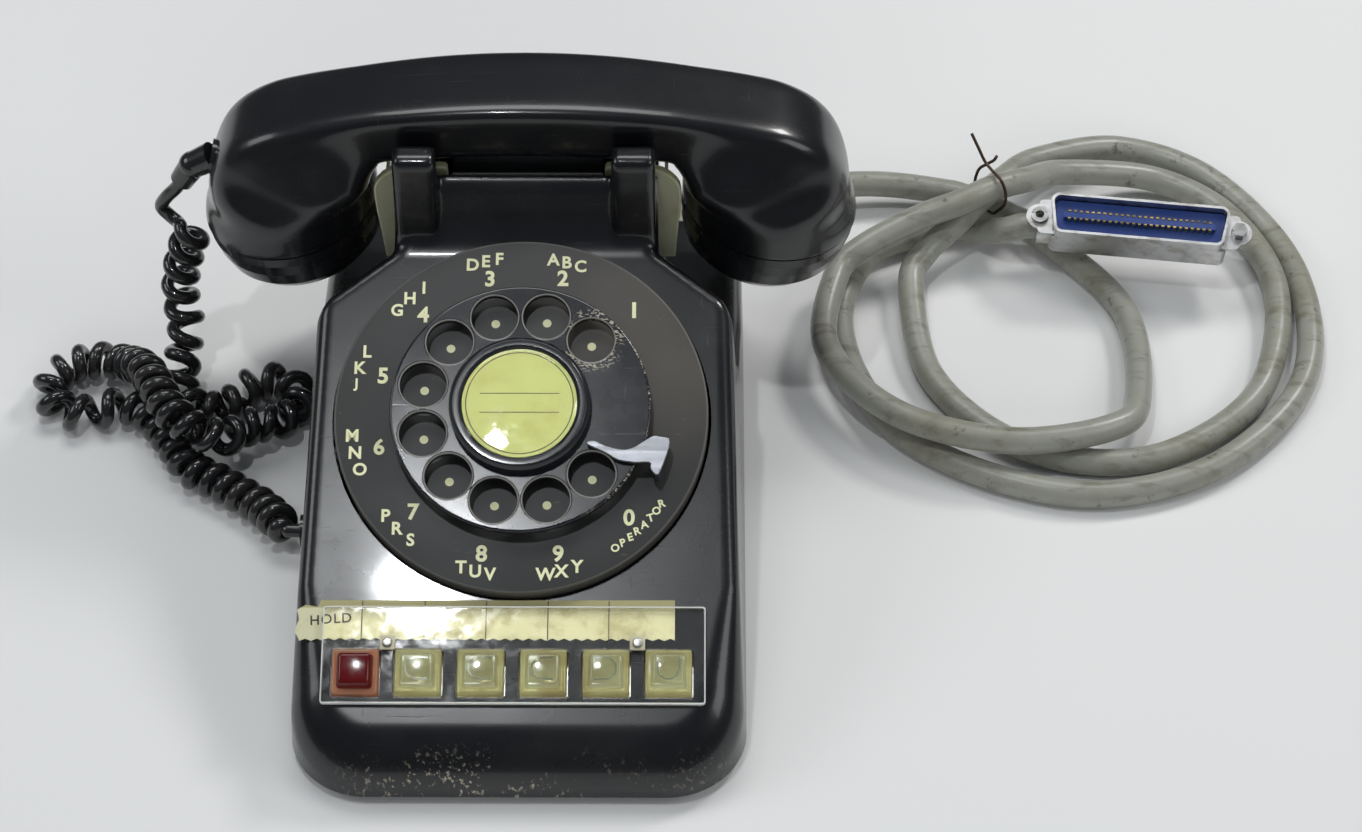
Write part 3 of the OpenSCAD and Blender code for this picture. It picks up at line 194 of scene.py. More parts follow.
def tidy(obj, angle=38.0, outward=True):
    """Points faces outwards and shades smooth up to an angle."""
    if outward:
        bm = bmesh.new()
        bm.from_mesh(obj.data)
        bmesh.ops.recalc_face_normals(bm, faces=bm.faces)
        bm.to_mesh(obj.data)
        bm.free()
    obj.data.polygons.foreach_set("use_smooth", [True] * len(obj.data.polygons))
    obj.data.set_sharp_from_angle(angle=math.radians(angle))
    obj.data.update()


def finish_piece(obj, body, finish, nodes=()):
    """Gives a piece its body, if it has just one, its finish and the CAD nodes it stands for."""
    obj.data.materials.clear()
    obj.data.materials.append(FINISHES[finish])
    if body:
        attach(obj, body)
    if nodes:
        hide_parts(*nodes)


def joined(name, objects):
    """One object out of several, which are removed."""
    bm = bmesh.new()
    for obj in objects:
        bm.from_mesh(obj.data)
    mesh = mesh_from(bm, name)
    for obj in objects:
        bpy.data.objects.remove(obj)
    out = linked(name, mesh)
    tidy(out, outward=False)
    return out


def evaluated(obj, name):
    """A plain mesh object made from a curve, a text or an object with modifiers."""
    bpy.context.view_layer.update()
    graph = bpy.context.evaluated_depsgraph_get()
    mesh = bpy.data.meshes.new_from_object(obj.evaluated_get(graph))
    mesh.transform(obj.matrix_world)
    bpy.data.objects.remove(obj)
    mesh.name = name
    return linked(name, mesh)


def soft_profile(corners, steps):
    """A profile with round corners: each corner is (radius from the axis, height, rounding)."""
    out = []
    n = len(corners)
    for i in range(n):
        p = np.array(corners[i][:2], float)
        r = corners[i][2]
        if r <= 0 or i in (0, n - 1):
            out.append(p)
            continue
        a = unit(np.array(corners[i - 1][:2], float) - p)
        b = unit(np.array(corners[i + 1][:2], float) - p)
        half = 0.5 * math.acos(float(np.clip(a @ b, -1, 1)))
        reach = r / math.tan(half)
        middle = p + unit(a + b) * (r / math.sin(half))
        p0 = p + a * reach - middle
        p1 = p + b * reach - middle
        for s in range(steps + 1):
            t = s / steps
            q = p0 * (1 - t) + p1 * t
            out.append(middle + q / np.linalg.norm(q) * r)
    return np.array(out)


def soft_loop(corners, steps):
    """A closed profile with round corners."""
    return soft_profile([corners[-1], *corners, corners[0]], steps)[1:-1]


def lathe(name, profile, sides, matrix):
    """A solid of revolution about Z of the matrix; the profile runs from axis to axis or is a loop."""
    closed = profile[0][0] > 0.01 and profile[-1][0] > 0.01
    a = 2 * math.pi * np.arange(sides) / sides
    ring = np.stack([np.cos(a), np.sin(a)], axis=1)
    rows = len(profile)
    verts = np.empty((rows, sides, 3))
    verts[:, :, :2] = profile[:, 0][:, None, None] * ring[None]
    verts[:, :, 2] = profile[:, 1][:, None]
    faces = grid_faces(rows, sides, True)
    if closed:
        last = (rows - 1) * sides
        faces += [(last + k, last + (k + 1) % sides, (k + 1) % sides, k) for k in range(sides)]
    obj = new_object(name, verts.reshape(-1, 3), faces, 1.0)
    merge_points(obj, 0.0005)
    obj.data.transform(Matrix.Scale(MM, 4) @ matrix)
    tidy(obj)
    return obj


def circle_points(x, y, r, count, clockwise=False):
    """Points of a circle."""
    a = 2 * math.pi * np.arange(count) / count * (-1 if clockwise else 1)
    return [(x + r * math.cos(t), y + r * math.sin(t)) for t in a]


def round_box_points(w, h, r, x, y):
    """Points of a rectangle with round corners, seven to a corner."""
    out = []
    for sx, sy, first in ((1, 1, 0), (-1, 1, 90), (-1, -1, 180), (1, -1, 270)):
        for k in range(7):
            t = math.radians(first + 90 * k / 6)
            out.append((x + sx * (w / 2 - r) + r * math.cos(t), y + sy * (h / 2 - r) + r * math.sin(t)))
    return out


def plate(name, loops, low, high, edge, matrix, resolution=2):
    """A flat plate between two heights with rounded edges; loops are outlines, holes among them."""
    curve = bpy.data.curves.new(name, "CURVE")
    curve.dimensions = "2D"
    curve.fill_mode = "BOTH"
    curve.extrude = (high - low) / 2 - edge
    curve.bevel_depth = edge
    curve.bevel_resolution = resolution
    curve.offset = -edge
    for loop in loops:
        s = curve.splines.new("POLY")
        s.points.add(len(loop) - 1)
        s.points.foreach_set("co", [c for x, y in loop for c in (x, y, 0.0, 1.0)])
        s.use_cyclic_u = True
    out = evaluated(linked(name, curve), name)
    out.data.transform(Matrix.Scale(MM, 4) @ matrix @ Matrix.Translation((0, 0, (low + high) / 2)))
    tidy(out)
    return out


def soft_box(name, size, at, edge, matrix, taper=0.0, segments=3):
    """A box with rounded edges, at its centre, whose top may be drawn in."""
    bm = bmesh.new()
    bmesh.ops.create_cube(bm, size=1.0)
    for v in bm.verts:
        draw = 1 - (taper if v.co.z > 0 else 0)
        v.co = Vector((v.co.x * size[0] * draw, v.co.y * size[1] * draw, v.co.z * size[2]))
    bmesh.ops.bevel(bm, geom=bm.edges[:], offset=edge, segments=segments, profile=0.5, affect="EDGES")
    mesh = mesh_from(bm, name)
    mesh.transform(Matrix.Scale(MM, 4) @ matrix @ Matrix.Translation(at))
    obj = linked(name, mesh)
    tidy(obj)
    return obj


# Materials
class Nodes:
    """Adds and links shader nodes in one tree."""

    def __init__(self, tree):
        self.tree = tree

    def add(self, kind, **values):
        node = self.tree.nodes.new(kind)
        for key, value in values.items():
            setattr(node, key, value)
        return node

    def link(self, source, target):
        self.tree.links.new(source, target)

    def place(self):
        return self.add("ShaderNodeTexCoord").outputs["Object"]

    def axes(self, vector):
        node = self.add("ShaderNodeSeparateXYZ")
        self.link(vector, node.inputs[0])
        return node.outputs

    def against(self, kind, vector, other):
        """A number out of a vector and a fixed one, such as their distance."""
        node = self.add("ShaderNodeVectorMath", operation=kind)
        self.link(vector, node.inputs[0])
        node.inputs[1].default_value = other
        return node.outputs["Value"]

    def noise(self, vector, scale, detail, roughness):
        node = self.add("ShaderNodeTexNoise")
        set_values(node, Scale=scale, Detail=detail, Roughness=roughness)
        self.link(vector, node.inputs["Vector"])
        return node.outputs["Fac"]

    def stretched_noise(self, vector, scale, turn, detail, roughness):
        """Noise drawn out into strokes by a scale for each axis, after a turn."""
        node = self.add("ShaderNodeMapping")
        set_values(node, Scale=scale, Rotation=turn)
        self.link(vector, node.inputs["Vector"])
        return self.noise(node.outputs["Vector"], 1.0, detail, roughness)

    def band(self, value, low, high, out_low=0.0, out_high=1.0):
        node = self.add("ShaderNodeMapRange")
        node.interpolation_type = "SMOOTHSTEP"
        set_values(node, From_Min=low, From_Max=high, To_Min=out_low, To_Max=out_high)
        self.link(value, node.inputs["Value"])
        return node.outputs["Result"]

    def math(self, kind, a, b):
        node = self.add("ShaderNodeMath", operation=kind)
        for socket, value in zip(node.inputs, (a, b)):
            if isinstance(value, (int, float)):
                socket.default_value = value
            else:
                self.link(value, socket)
        return node.outputs[0]

    def product(self, a, *others):
        for b in others:
            a = self.math("MULTIPLY", a, b)
        return a

    def mix(self, factor, a, b):
        node = self.add("ShaderNodeMix", data_type="RGBA")
        for socket, value in ((node.inputs[0], factor), (node.inputs[6], a), (node.inputs[7], b)):
            if isinstance(value, (int, float, tuple)):
                socket.default_value = value
            else:
                self.link(value, socket)
        return node.outputs[2]

    def bump(self, height, strength, distance):
        node = self.add("ShaderNodeBump")
        set_values(node, Strength=strength, Distance=distance)
        self.link(height, node.inputs["Height"])
        return node.outputs["Normal"]


def set_values(node, **values):
    """Sets inputs by name, with a low line for each space."""
    for key, value in values.items():
        node.inputs[key.replace("_", " ")].default_value = value


def principled(name):
    """A new material with its Principled shader and a tree to add to."""
    material = bpy.data.materials.new(name)
    material.use_nodes = True
    tree = material.node_tree
    return material, Nodes(tree), tree.nodes["Principled BSDF"]


def wear_group():
    """Wear of moulded plastic: a film of dust, fine scratches in two directions, and slight waves."""
    name = "surface wear"
    if name in bpy.data.node_groups:
        return bpy.data.node_groups[name]
    group = bpy.data.node_groups.new(name, "ShaderNodeTree")
    for socket, kind, way in (
            ("Vector", "Vector", "INPUT"), ("Colour", "Color", "INPUT"), ("Dust Colour", "Color", "INPUT"),
            ("Dust", "Float", "INPUT"), ("Roughness", "Float", "INPUT"), ("Colour Out", "Color", "OUTPUT"),
            ("Roughness Out", "Float", "OUTPUT"), ("Normal Out", "Vector", "OUTPUT")):
        group.interface.new_socket(name=socket, in_out=way, socket_type=f"NodeSocket{kind}")
    n = Nodes(group)
    given = n.add("NodeGroupInput").outputs
    result = n.add("NodeGroupOutput").inputs
    place = given["Vector"]
    film = n.band(n.noise(place, 26, 6, 0.6), 0.38, 0.75)
    dust = n.product(film, given["Dust"])
    fine = n.band(n.stretched_noise(place, (40, 900, 400), (0.3, 0.2, 0.7), 2, 0.5), 0.66, 0.78)
    across = n.band(n.stretched_noise(place, (700, 60, 300), (0.1, 0.5, -0.4), 2, 0.5), 0.68, 0.8)
    lines = n.math("MAXIMUM", fine, across)
    colour = n.mix(dust, given["Colour"], given["Dust Colour"])
    n.link(n.mix(n.product(given["Dust"], 0.5, lines), colour, given["Dust Colour"]), result["Colour Out"])
    rough = n.math("ADD", given["Roughness"], n.product(dust, 0.5))
    n.link(n.math("ADD", rough, n.product(lines, 0.06)), result["Roughness Out"])
    height = n.math("ADD", n.noise(place, 60, 2, 0.4), n.product(lines, -0.1))
    n.link(n.bump(height, 0.045, 0.001), result["Normal Out"])
    return group


def worn_plastic(name, colour, dust_colour, dust, roughness, coat=0.3, marks=None):
    """Moulded plastic with the wear group; marks gives the share of pale rubbed plastic at a place."""
    material, n, shader = principled(name)
    place = n.place()
    wear = n.add("ShaderNodeGroup", node_tree=wear_group())
    n.link(place, wear.inputs["Vector"])
    set_values(wear, Colour=(*colour, 1), Dust_Colour=(*dust_colour, 1), Dust=dust, Roughness=roughness)
    colour_now = wear.outputs["Colour Out"]
    rough_now = wear.outputs["Roughness Out"]
    if marks:
        rubbed = marks(n, place)
        colour_now = n.mix(rubbed, colour_now, (0.52, 0.47, 0.36, 1))
        rough_now = n.math("ADD", rough_now, n.product(rubbed, 0.4))
    n.link(colour_now, shader.inputs["Base Color"])
    n.link(rough_now, shader.inputs["Roughness"])
    n.link(wear.outputs["Normal Out"], shader.inputs["Normal"])
    set_values(shader, Coat_Weight=coat, Coat_Roughness=0.06, Specular_IOR_Level=0.5)
    return material


def front_wall_scuffs(n, place):
    """Short pale strokes low on the front wall, most of them left of its middle."""
    axes = n.axes(place)
    low = n.band(axes["Z"], 0.008, 0.024, 1.0, 0.0)
    front = n.band(axes["Y"], -0.112, -0.104, 1.0, 0.0)
    left = n.band(axes["X"], -0.062, -0.03, 0.1, 1.0)
    right = n.band(axes["X"], 0.0, 0.035, 1.0, 0.2)
    patches = n.band(n.noise(place, 75, 3, 0.6), 0.44, 0.56)
    strokes = n.band(n.stretched_noise(place, (620, 900, 330), (0.2, 0.5, 0.7), 3, 0.6), 0.55, 0.66)
    return n.product(low, front, left, right, patches, strokes)


def first_hole_scuffs(n, place):
    """Fine bright scratches above and beside the first finger hole, and on the wheel's edge near it."""
    strokes = n.band(n.stretched_noise(place, (700, 1500, 900), (0.3, 0.2, 0.8), 2, 0.6), 0.52, 0.58)
    clumps = n.band(n.noise(place, 130, 2, 0.5), 0.41, 0.52)
    beside = n.band(n.axes(place)["X"], 0.018, 0.034)
    rings = []
    for at, inner, outer, fade in ((face_point(23.8, 24.6, 11.5), 0.0078, 0.0084, 0.0128),
                                   (face_point(0, 0, 11.5), 0.0436, 0.0440, 0.0448)):
        away = n.against("DISTANCE", place, at * MM)
        rings.append(n.product(n.band(away, inner, outer), n.band(away, outer, fade, 1.0, 0.0)))
    return n.product(n.math("MAXIMUM", rings[0], n.product(rings[1], beside)), clumps, strokes)


def metal(name, colour, roughness, stain):
    """Metal with brushed lines and a dull stain."""
    material, n, shader = principled(name)
    place = n.place()
    lines = n.stretched_noise(place, (30, 600, 200), (0, 0, 0), 3, 0.6)
    spots = n.band(n.noise(place, 120, 5, 0.65), 0.45, 0.7)
    n.link(n.mix(n.product(spots, 0.7), (*colour, 1), (*stain, 1)), shader.inputs["Base Color"])
    n.link(n.band(lines, 0.3, 0.7, roughness - 0.06, roughness + 0.1), shader.inputs["Roughness"])
    n.link(n.bump(lines, 0.06, 0.0003), shader.inputs["Normal"])
    set_values(shader, Metallic=1.0)
    return material


def clear(name, colour, transmission, roughness, stain, grime, subsurface=0.0):
    """Clear or tinted plastic with grime and yellowing in soft patches."""
    material, n, shader = principled(name)
    place = n.place()
    patches = n.band(n.noise(place, 75, 3, 0.55), 0.42, 0.72)
    n.link(n.mix(n.product(patches, grime), (*colour, 1), (*stain, 1)), shader.inputs["Base Color"])
    rough = n.band(n.noise(place, 200, 3, 0.6), 0.35, 0.75, roughness, roughness + 0.08)
    n.link(rough, shader.inputs["Roughness"])
    n.link(n.bump(n.noise(place, 300, 2, 0.5), 0.03, 0.0004), shader.inputs["Normal"])
    set_values(shader, Transmission_Weight=transmission, IOR=1.46, Subsurface_Weight=subsurface)
    if subsurface:
        set_values(shader, Subsurface_Radius=(0.004, 0.003, 0.0015), Subsurface_Scale=1.0)
    return material


def paper(name, colour, stain, lines=None):
    """Aged paper, card or paint with fibres, foxing and darker patches."""
    material, n, shader = principled(name)
    place = n.place()
    fox = n.band(n.noise(place, 90, 6, 0.7), 0.46, 0.7)
    fibres = n.stretched_noise(place, (900, 2600, 900), (0, 0, 0), 2, 0.5)
    colour_now = n.mix(n.product(fox, 0.75), (*colour, 1), (*stain, 1))
    if lines:
        colour_now = lines(n, place, colour_now)
    n.link(colour_now, shader.inputs["Base Color"])
    n.link(n.bump(fibres, 0.12, 0.0002), shader.inputs["Normal"])
    set_values(shader, Roughness=0.72, Specular_IOR_Level=0.3)
    return material


def strip_edge(n, place, colour):
    """Yellowed band along the strip's top, where the cover leaves it bare."""
    up = n.against("DOT_PRODUCT", place, FACE_UP)
    top = float(face_point(0, -67.6, 0) @ FACE_UP) * MM
    return n.mix(n.band(up, top - 0.0003, top + 0.0003), colour, (0.40, 0.37, 0.19, 1))


def cable_sheath(clean):
    """Grey vinyl with soil in long streaks and dark rubbed patches."""
    material, n, shader = principled("cable_vinyl")
    place = n.place()
    soil = n.band(n.noise(place, 22, 7, 0.68), 0.42, 0.68)
    spots = n.band(n.noise(place, 150, 5, 0.7), 0.6, 0.72)
    streaks = n.band(n.stretched_noise(place, (70, 240, 120), (0.2, 0.1, 0.6), 4, 0.6), 0.5, 0.72)
    base = n.mix(n.product(soil, 0.65), (*clean, 1), (0.20, 0.185, 0.125, 1))
    base = n.mix(n.product(streaks, 0.5), base, (0.11, 0.095, 0.055, 1))
    n.link(n.mix(n.product(spots, 0.75), base, (0.05, 0.04, 0.025, 1)), shader.inputs["Base Color"])
    n.link(n.band(soil, 0.0, 1.0, 0.34, 0.55), shader.inputs["Roughness"])
    wrinkles = n.math("ADD", n.noise(place, 240, 3, 0.6), n.product(streaks, -0.3))
    n.link(n.bump(wrinkles, 0.10, 0.0006), shader.inputs["Normal"])
    set_values(shader, Sheen_Weight=0.15, Sheen_Roughness=0.4, Coat_Weight=0.15, Coat_Roughness=0.3)
    return material


def plate_finish():
    """Number plate: dark grey, paler brown at its upper right, partly rubbed wear and partly a painted sheen,
    with a pale edge.
    """
    material, n, shader = principled("number_plate_finish")
    place = n.place()
    # Paler brown zone round the upper right: partly rubbed wear, partly a painted sheen where that side
    # catches the light.
    rubbed_and_sheen = n.band(n.against("DISTANCE", place, face_point(50, 34, 5) * MM), 0.012, 0.062, 1.0, 0.0)
    clouds = n.band(n.noise(place, 16, 4, 0.55), 0.3, 0.7, 0.45, 1.0)
    edge = n.band(n.against("DISTANCE", place, face_point(0, 0, 5) * MM), 0.0630, 0.0635)
    scratch = n.band(n.stretched_noise(place, (120, 700, 300), (0.2, 0.3, 1.1), 4, 0.7), 0.66, 0.76)
    # The paler brown colour here is the rubbed wear together with the painted sheen.
    colour = n.mix(n.product(rubbed_and_sheen, clouds), (0.0145, 0.0142, 0.0135, 1), (0.070, 0.061, 0.047, 1))
    colour = n.mix(n.product(scratch, 0.25), colour, (0.30, 0.27, 0.21, 1))
    n.link(n.mix(n.product(edge, 0.3), colour, (0.26, 0.25, 0.22, 1)), shader.inputs["Base Color"])
    n.link(n.band(clouds, 0.0, 1.0, 0.36, 0.5), shader.inputs["Roughness"])
    n.link(n.bump(n.noise(place, 500, 3, 0.6), 0.05, 0.0003), shader.inputs["Normal"])
    set_values(shader, Specular_IOR_Level=0.55)
    return material


def make_materials(chosen):
    """Every material of the telephone, by name, from the chosen settings."""
    black = tuple(chosen.body_colour)
    rough = chosen.body_roughness
    dust = chosen.dust
    grey_dust = (0.085, 0.082, 0.075)
    return {
        "housing": worn_plastic("housing_plastic", black, grey_dust, dust, rough, marks=front_wall_scuffs),
        "handset": worn_plastic("handset_plastic", black, grey_dust, 0.8 * dust, rough),
        "dial": worn_plastic("dial_plastic", (0.011, 0.012, 0.015), (0.15, 0.15, 0.15), 0.12, 0.16,
                             marks=first_hole_scuffs),
        "cord_black": worn_plastic("cord_vinyl", (0.010, 0.010, 0.011), (0.10, 0.09, 0.07), 0.16, 0.2, 0.5),
        "plate_grey": plate_finish(),
        "figures": paper("figure_paint", (0.86, 0.86, 0.55), (0.72, 0.70, 0.42)),
        # Pale colour of the rings on the finger holes' bevels: partly rubbed wear, partly a painted highlight
        # along the bevel.
        "rubbed_and_highlit_edge": paper("rubbed_and_highlit_edge", (0.30, 0.29, 0.26), (0.12, 0.12, 0.11)),
        "print": paper("print_ink", (0.05, 0.045, 0.035), (0.16, 0.14, 0.10)),
        "card": paper("number_card_stock", tuple(chosen.card_colour), (0.36, 0.37, 0.12)),
        "paper": paper("strip_paper", (0.66, 0.645, 0.43), (0.43, 0.385, 0.21), strip_edge),
        "steel": metal("bright_steel", (0.36, 0.37, 0.40), 0.40, (0.26, 0.255, 0.25)),
        "plated_steel": metal("plated_steel", (0.58, 0.58, 0.57), 0.34, (0.36, 0.35, 0.31)),
        "screw_steel": metal("screw_steel", (0.56, 0.56, 0.55), 0.3, (0.34, 0.30, 0.24)),
        "spring_steel": metal("spring_steel", (0.22, 0.24, 0.29), 0.3, (0.12, 0.11, 0.10)),
        "brass": metal("brass", (0.70, 0.52, 0.24), 0.28, (0.40, 0.27, 0.11)),
        "aluminium": metal("aluminium", (0.72, 0.72, 0.73), 0.36, (0.52, 0.52, 0.52)),
        "contact_metal": metal("contact_metal", (0.66, 0.63, 0.55), 0.3, (0.40, 0.36, 0.28)),
        "gold_contact": metal("gold_contact", (0.86, 0.62, 0.22), 0.22, (0.55, 0.36, 0.12)),
        "connector_steel": metal("connector_steel", (0.66, 0.66, 0.66), 0.38, (0.34, 0.31, 0.26)),
        "dark_wire": metal("tarnished_wire", (0.11, 0.075, 0.055), 0.55, (0.05, 0.03, 0.022)),
        "rubber": worn_plastic("foot_rubber", (0.018, 0.018, 0.018), (0.10, 0.095, 0.085), 0.35, 0.7, 0),
        "blue_plastic": worn_plastic("connector_plastic", (0.012, 0.045, 0.24), (0.10, 0.14, 0.22), 0.2,
                                     0.3, 0.1),
        "block_plastic": worn_plastic("block_plastic", (0.11, 0.11, 0.085), (0.22, 0.21, 0.17), 0.3, 0.5, 0),
        "coil_winding": worn_plastic("coil_varnish", (0.22, 0.055, 0.02), (0.30, 0.14, 0.08), 0.3, 0.3),
        "cream_plastic": paper("clip_cream", (0.62, 0.58, 0.42), (0.42, 0.36, 0.22)),
        "cover": clear("cover_acrylic", (0.95, 0.95, 0.92), 1.0, 0.02, (0.80, 0.78, 0.68), 0.2),
        "window": clear("window_acrylic", (0.97, 0.97, 0.95), 1.0, 0.01, (0.9, 0.9, 0.85), 0.1),
        "line_cap": clear("line_key_clear", (0.54, 0.52, 0.26), 0.55, 0.1, (0.34, 0.27, 0.10), 0.7, 0.2),
        "line_lens": clear("line_lens_clear", (0.52, 0.56, 0.49), 0.9, 0.05, (0.42, 0.41, 0.28), 0.5),
        "hold_cap": clear("hold_key_clear", (0.50, 0.23, 0.13), 0.4, 0.12, (0.36, 0.22, 0.11), 0.6, 0.2),
        "red_lens": clear("hold_lens_red", (0.125, 0.003, 0.004), 0.1, 0.1, (0.08, 0.003, 0.004), 0.4, 0.2),
        "pale_clear": clear("plunger_clear", (0.74, 0.74, 0.52), 0.5, 0.18, (0.55, 0.52, 0.32), 0.5, 0.3),
        "cover_edge": clear("cover_sawn_edge", (0.92, 0.93, 0.90), 0.25, 0.4, (0.85, 0.84, 0.76), 0.3, 0.2),
        "lamp_glass": clear("lamp_glass", (0.92, 0.88, 0.76), 0.9, 0.05, (0.7, 0.62, 0.4), 0.2),
        "cable_grey": cable_sheath(tuple(chosen.cable_colour)),
    }


FINISHES = {}


# Forms worked out as distances
def both(a, b, r):
    """The space in both of two distances, with the edge between them rounded to radius r."""
    return np.minimum(np.maximum(a, b), -r) + np.hypot(np.maximum(a + r, 0), np.maximum(b + r, 0))


def either(a, b, r):
    """The space in one or other of two distances, with a fillet of radius r where they meet."""
    return -both(-a, -b, r)


def outline_distance(points, a, b):
    """Least distance to a closed outline's edges, negative inside, which an odd count of edges tells."""
    d = np.full(np.broadcast(a, b).shape, 1e9)
    inside = np.zeros(d.shape, bool)
    for (x0, y0), (x1, y1) in zip(points, points[1:] + points[:1]):
        ex = x1 - x0
        ey = y1 - y0
        t = np.clip(((a - x0) * ex + (b - y0) * ey) / (ex * ex + ey * ey), 0, 1)
        d = np.minimum(d, np.hypot(a - x0 - t * ex, b - y0 - t * ey))
        inside ^= ((y0 <= b) != (y1 <= b)) & (x0 + (b - y0) * ex / (ey if ey else 1e-9) > a)
    return np.where(inside, -d, d)


def fill_crossed_squares(d):
    """Takes in one more corner of each grid square with only two opposite corners inside, because the net
    would fold onto itself there and couldn't be cut."""
    crossed = True
    while crossed:
        crossed = False
        for p, q in ((0, 1), (1, 2), (0, 2)):
            corner = {}
            for i in (0, 1):
                for j in (0, 1):
                    cut = [slice(None)] * 3
                    cut[p] = slice(i, d.shape[p] - 1 + i)
                    cut[q] = slice(j, d.shape[q] - 1 + j)
                    corner[i, j] = d[tuple(cut)]
            inside = {key: view < 0 for key, view in corner.items()}
            odd = (inside[0, 0] == inside[1, 1]) & (inside[0, 1] == inside[1, 0])
            odd &= inside[0, 0] != inside[0, 1]
            if odd.any():
                crossed = True
                corner[0, 1][odd & inside[0, 0]] = -0.001
                corner[0, 0][odd & ~inside[0, 0]] = -0.001


def surface_net(name, distance, low, high, step):
    """Quads over the zero surface of a distance: a point in each cell that it crosses, at the mean of
    the crossings on the cell's edges, then moved down the gradient onto the surface."""
    axes = [np.arange(a, b + step, step) for a, b in zip(low, high)]
    d = distance(axes[0][:, None, None], axes[1][None, :, None], axes[2][None, None, :])
    d = np.array(np.broadcast_to(d, tuple(len(a) for a in axes)))
    fill_crossed_squares(d)
    inside = d < 0
    shape = tuple(n - 1 for n in d.shape)
    corners = [(i, j, k) for i in (0, 1) for j in (0, 1) for k in (0, 1)]
    full = np.zeros(shape, np.uint8)
    for i, j, k in corners:
        full += inside[i:i + shape[0], j:j + shape[1], k:k + shape[2]]
    cells = np.argwhere((full > 0) & (full < 8))
    total = np.zeros((len(cells), 3))
    count = np.zeros((len(cells), 1))
    for a in corners:
        for axis in range(3):
            if a[axis]:
                continue
            b = tuple(a[m] + (m == axis) for m in range(3))
            da = d[tuple((cells + a).T)]
            db = d[tuple((cells + b).T)]
            crossed = ((da < 0) != (db < 0))[:, None]
            t = np.where(crossed[:, 0], da / np.where(da == db, 1, da - db), 0)
            place = cells + np.array(a) + t[:, None] * (np.array(b) - np.array(a))
            total += np.where(crossed, place, 0)
            count += crossed
    verts = np.array([a[0] for a in axes]) + step * total / count
    number = np.full(shape, -1)
    number[tuple(cells.T)] = np.arange(len(cells))
    quads = []
    for axis in range(3):
        side = np.eye(3, dtype=int)
        along, b, c = side[axis], side[(axis + 1) % 3], side[(axis + 2) % 3]
        ends = tuple(slice(1, n - 1) for n in d.shape)
        ahead = tuple(slice(1 + along[m], n - 1 + along[m]) for m, n in enumerate(d.shape))
        at = np.argwhere(inside[ends] != inside[ahead]) + 1
        quad = np.stack([number[tuple((at - s).T)] for s in (0 * b, b, b + c, c)], axis=1)
        turned = ~inside[tuple(at.T)]
        quad[turned] = quad[turned][:, ::-1]
        quads.append(quad)
    reach = 0.04
    for _ in range(4):
        here = distance(*verts.T)
        slope = [distance(*(verts + o).T) - distance(*(verts - o).T) for o in np.eye(3) * reach]
        slope = np.stack(slope, axis=1) / (2 * reach)
        move = -here[:, None] * slope / np.maximum((slope ** 2).sum(axis=1, keepdims=True), 0.2)
        verts = verts + np.clip(move, -0.4 * step, 0.4 * step)
    return new_object(name, verts, np.concatenate(quads).tolist())


def cut_out(obj, cutter):
    """Takes one closed form out of another and returns what is left, at the origin."""
    modifier = obj.modifiers.new("cut", "BOOLEAN")
    modifier.operation = "DIFFERENCE"
    modifier.solver = "MANIFOLD"
    modifier.object = cutter
    name = obj.name
    count = len(obj.data.vertices)
    out = evaluated(obj, name)
    bpy.data.objects.remove(cutter)
    if len(out.data.vertices) == count:
        raise RuntimeError(f"nothing was cut out of {name}")
    return out


# Housing
FOOT_Z = 4.0
WALL = 3.0
CREST_Z = 111.0
HALF_WIDTH = 77
HALF_DEPTH = 119
SIDE_LEAN = 0.066
DECK_LEAN = 0.0294
REAR_LEAN = 0.0444
DISTANCE_STEP = 1.25
PRONG_X = 37.8
TROUGH = [
    (69, 130), (68.5, CREST_Z), (77, 103), (80, 100), (98, 100), (101, 103), (109.5, CREST_Z), (109, 130),
]
SCREW_PLACES = [(69.5, -58), (-69.5, -58), (64, 106), (-64, 106)]


def main_block(x, y, z):
    """Front of the housing: walls that lean in, shoulders cut off at a slant, and the sloping face."""
    width = HALF_WIDTH - SIDE_LEAN * (z - FOOT_Z)
    front = 0.0625 * (z - FOOT_Z) - HALF_DEPTH
    wall = both(np.abs(x) - width, front - y, 27)
    wall = both(wall, 0.588 * (np.abs(x) - 38.5) + 0.809 * (y - 60), 5)
    rise = (z - DIAL_CENTRE[2]) * math.cos(SLOPE) - (y - DIAL_CENTRE[1]) * math.sin(SLOPE)
    return both(wall, rise, np.interp(y, (-91, -60), (13, 5)))


def deck_block(x, y, z):
    """Low deck behind the shoulders, under the cups."""
    width = HALF_WIDTH - np.interp(y, (20, 60), (0.067, DECK_LEAN)) * (z - FOOT_Z)
    rear = HALF_DEPTH - REAR_LEAN * (z - FOOT_Z)
    wall = both(np.abs(x) - width, y - rear, 22)
    top = z - np.interp(y, (20, 95), (55, 46))
    return np.maximum(both(wall, top, 8), -10 - y)


def neck_block(x, y, z):
    """Neck that carries the cradle: it leans back in front and is nearly upright behind."""
    front = np.maximum(-0.970 * (y - 35) + 0.2426 * (z - 4), -0.912 * (y - 55.5) + 0.410 * (z - 86))
    rear = np.maximum(y - 118, 0.984 * (y - 118) + 0.177 * (z - 86))
    wall = both(np.maximum(front, rear), np.abs(x) - 46, 5)
    return both(wall, z - CREST_Z, 5)


def prongs(x, y, z):
    """Four prongs with round tips, two in front and two behind."""
    across = np.abs(np.abs(x) - PRONG_X) - 7.5
    out = None
    for root, lean, flip in ((56, 3.5, False), (60, 1, True)):
        tip = root + lean
        top = 122.5 if flip else 125
        outline = [(root, 84), (root, 92), (tip, top - 3.2), (tip + 0.9, top - 0.9), (tip + 3.2, top),
                   (68.3, top), (70.6, top - 0.9), (71.5, top - 3.2), (73, 100), (73, 84)]
        d = both(outline_distance(outline, 178 - y if flip else y, z), across, 2.6)
        out = d if out is None else np.minimum(out, d)
    return out


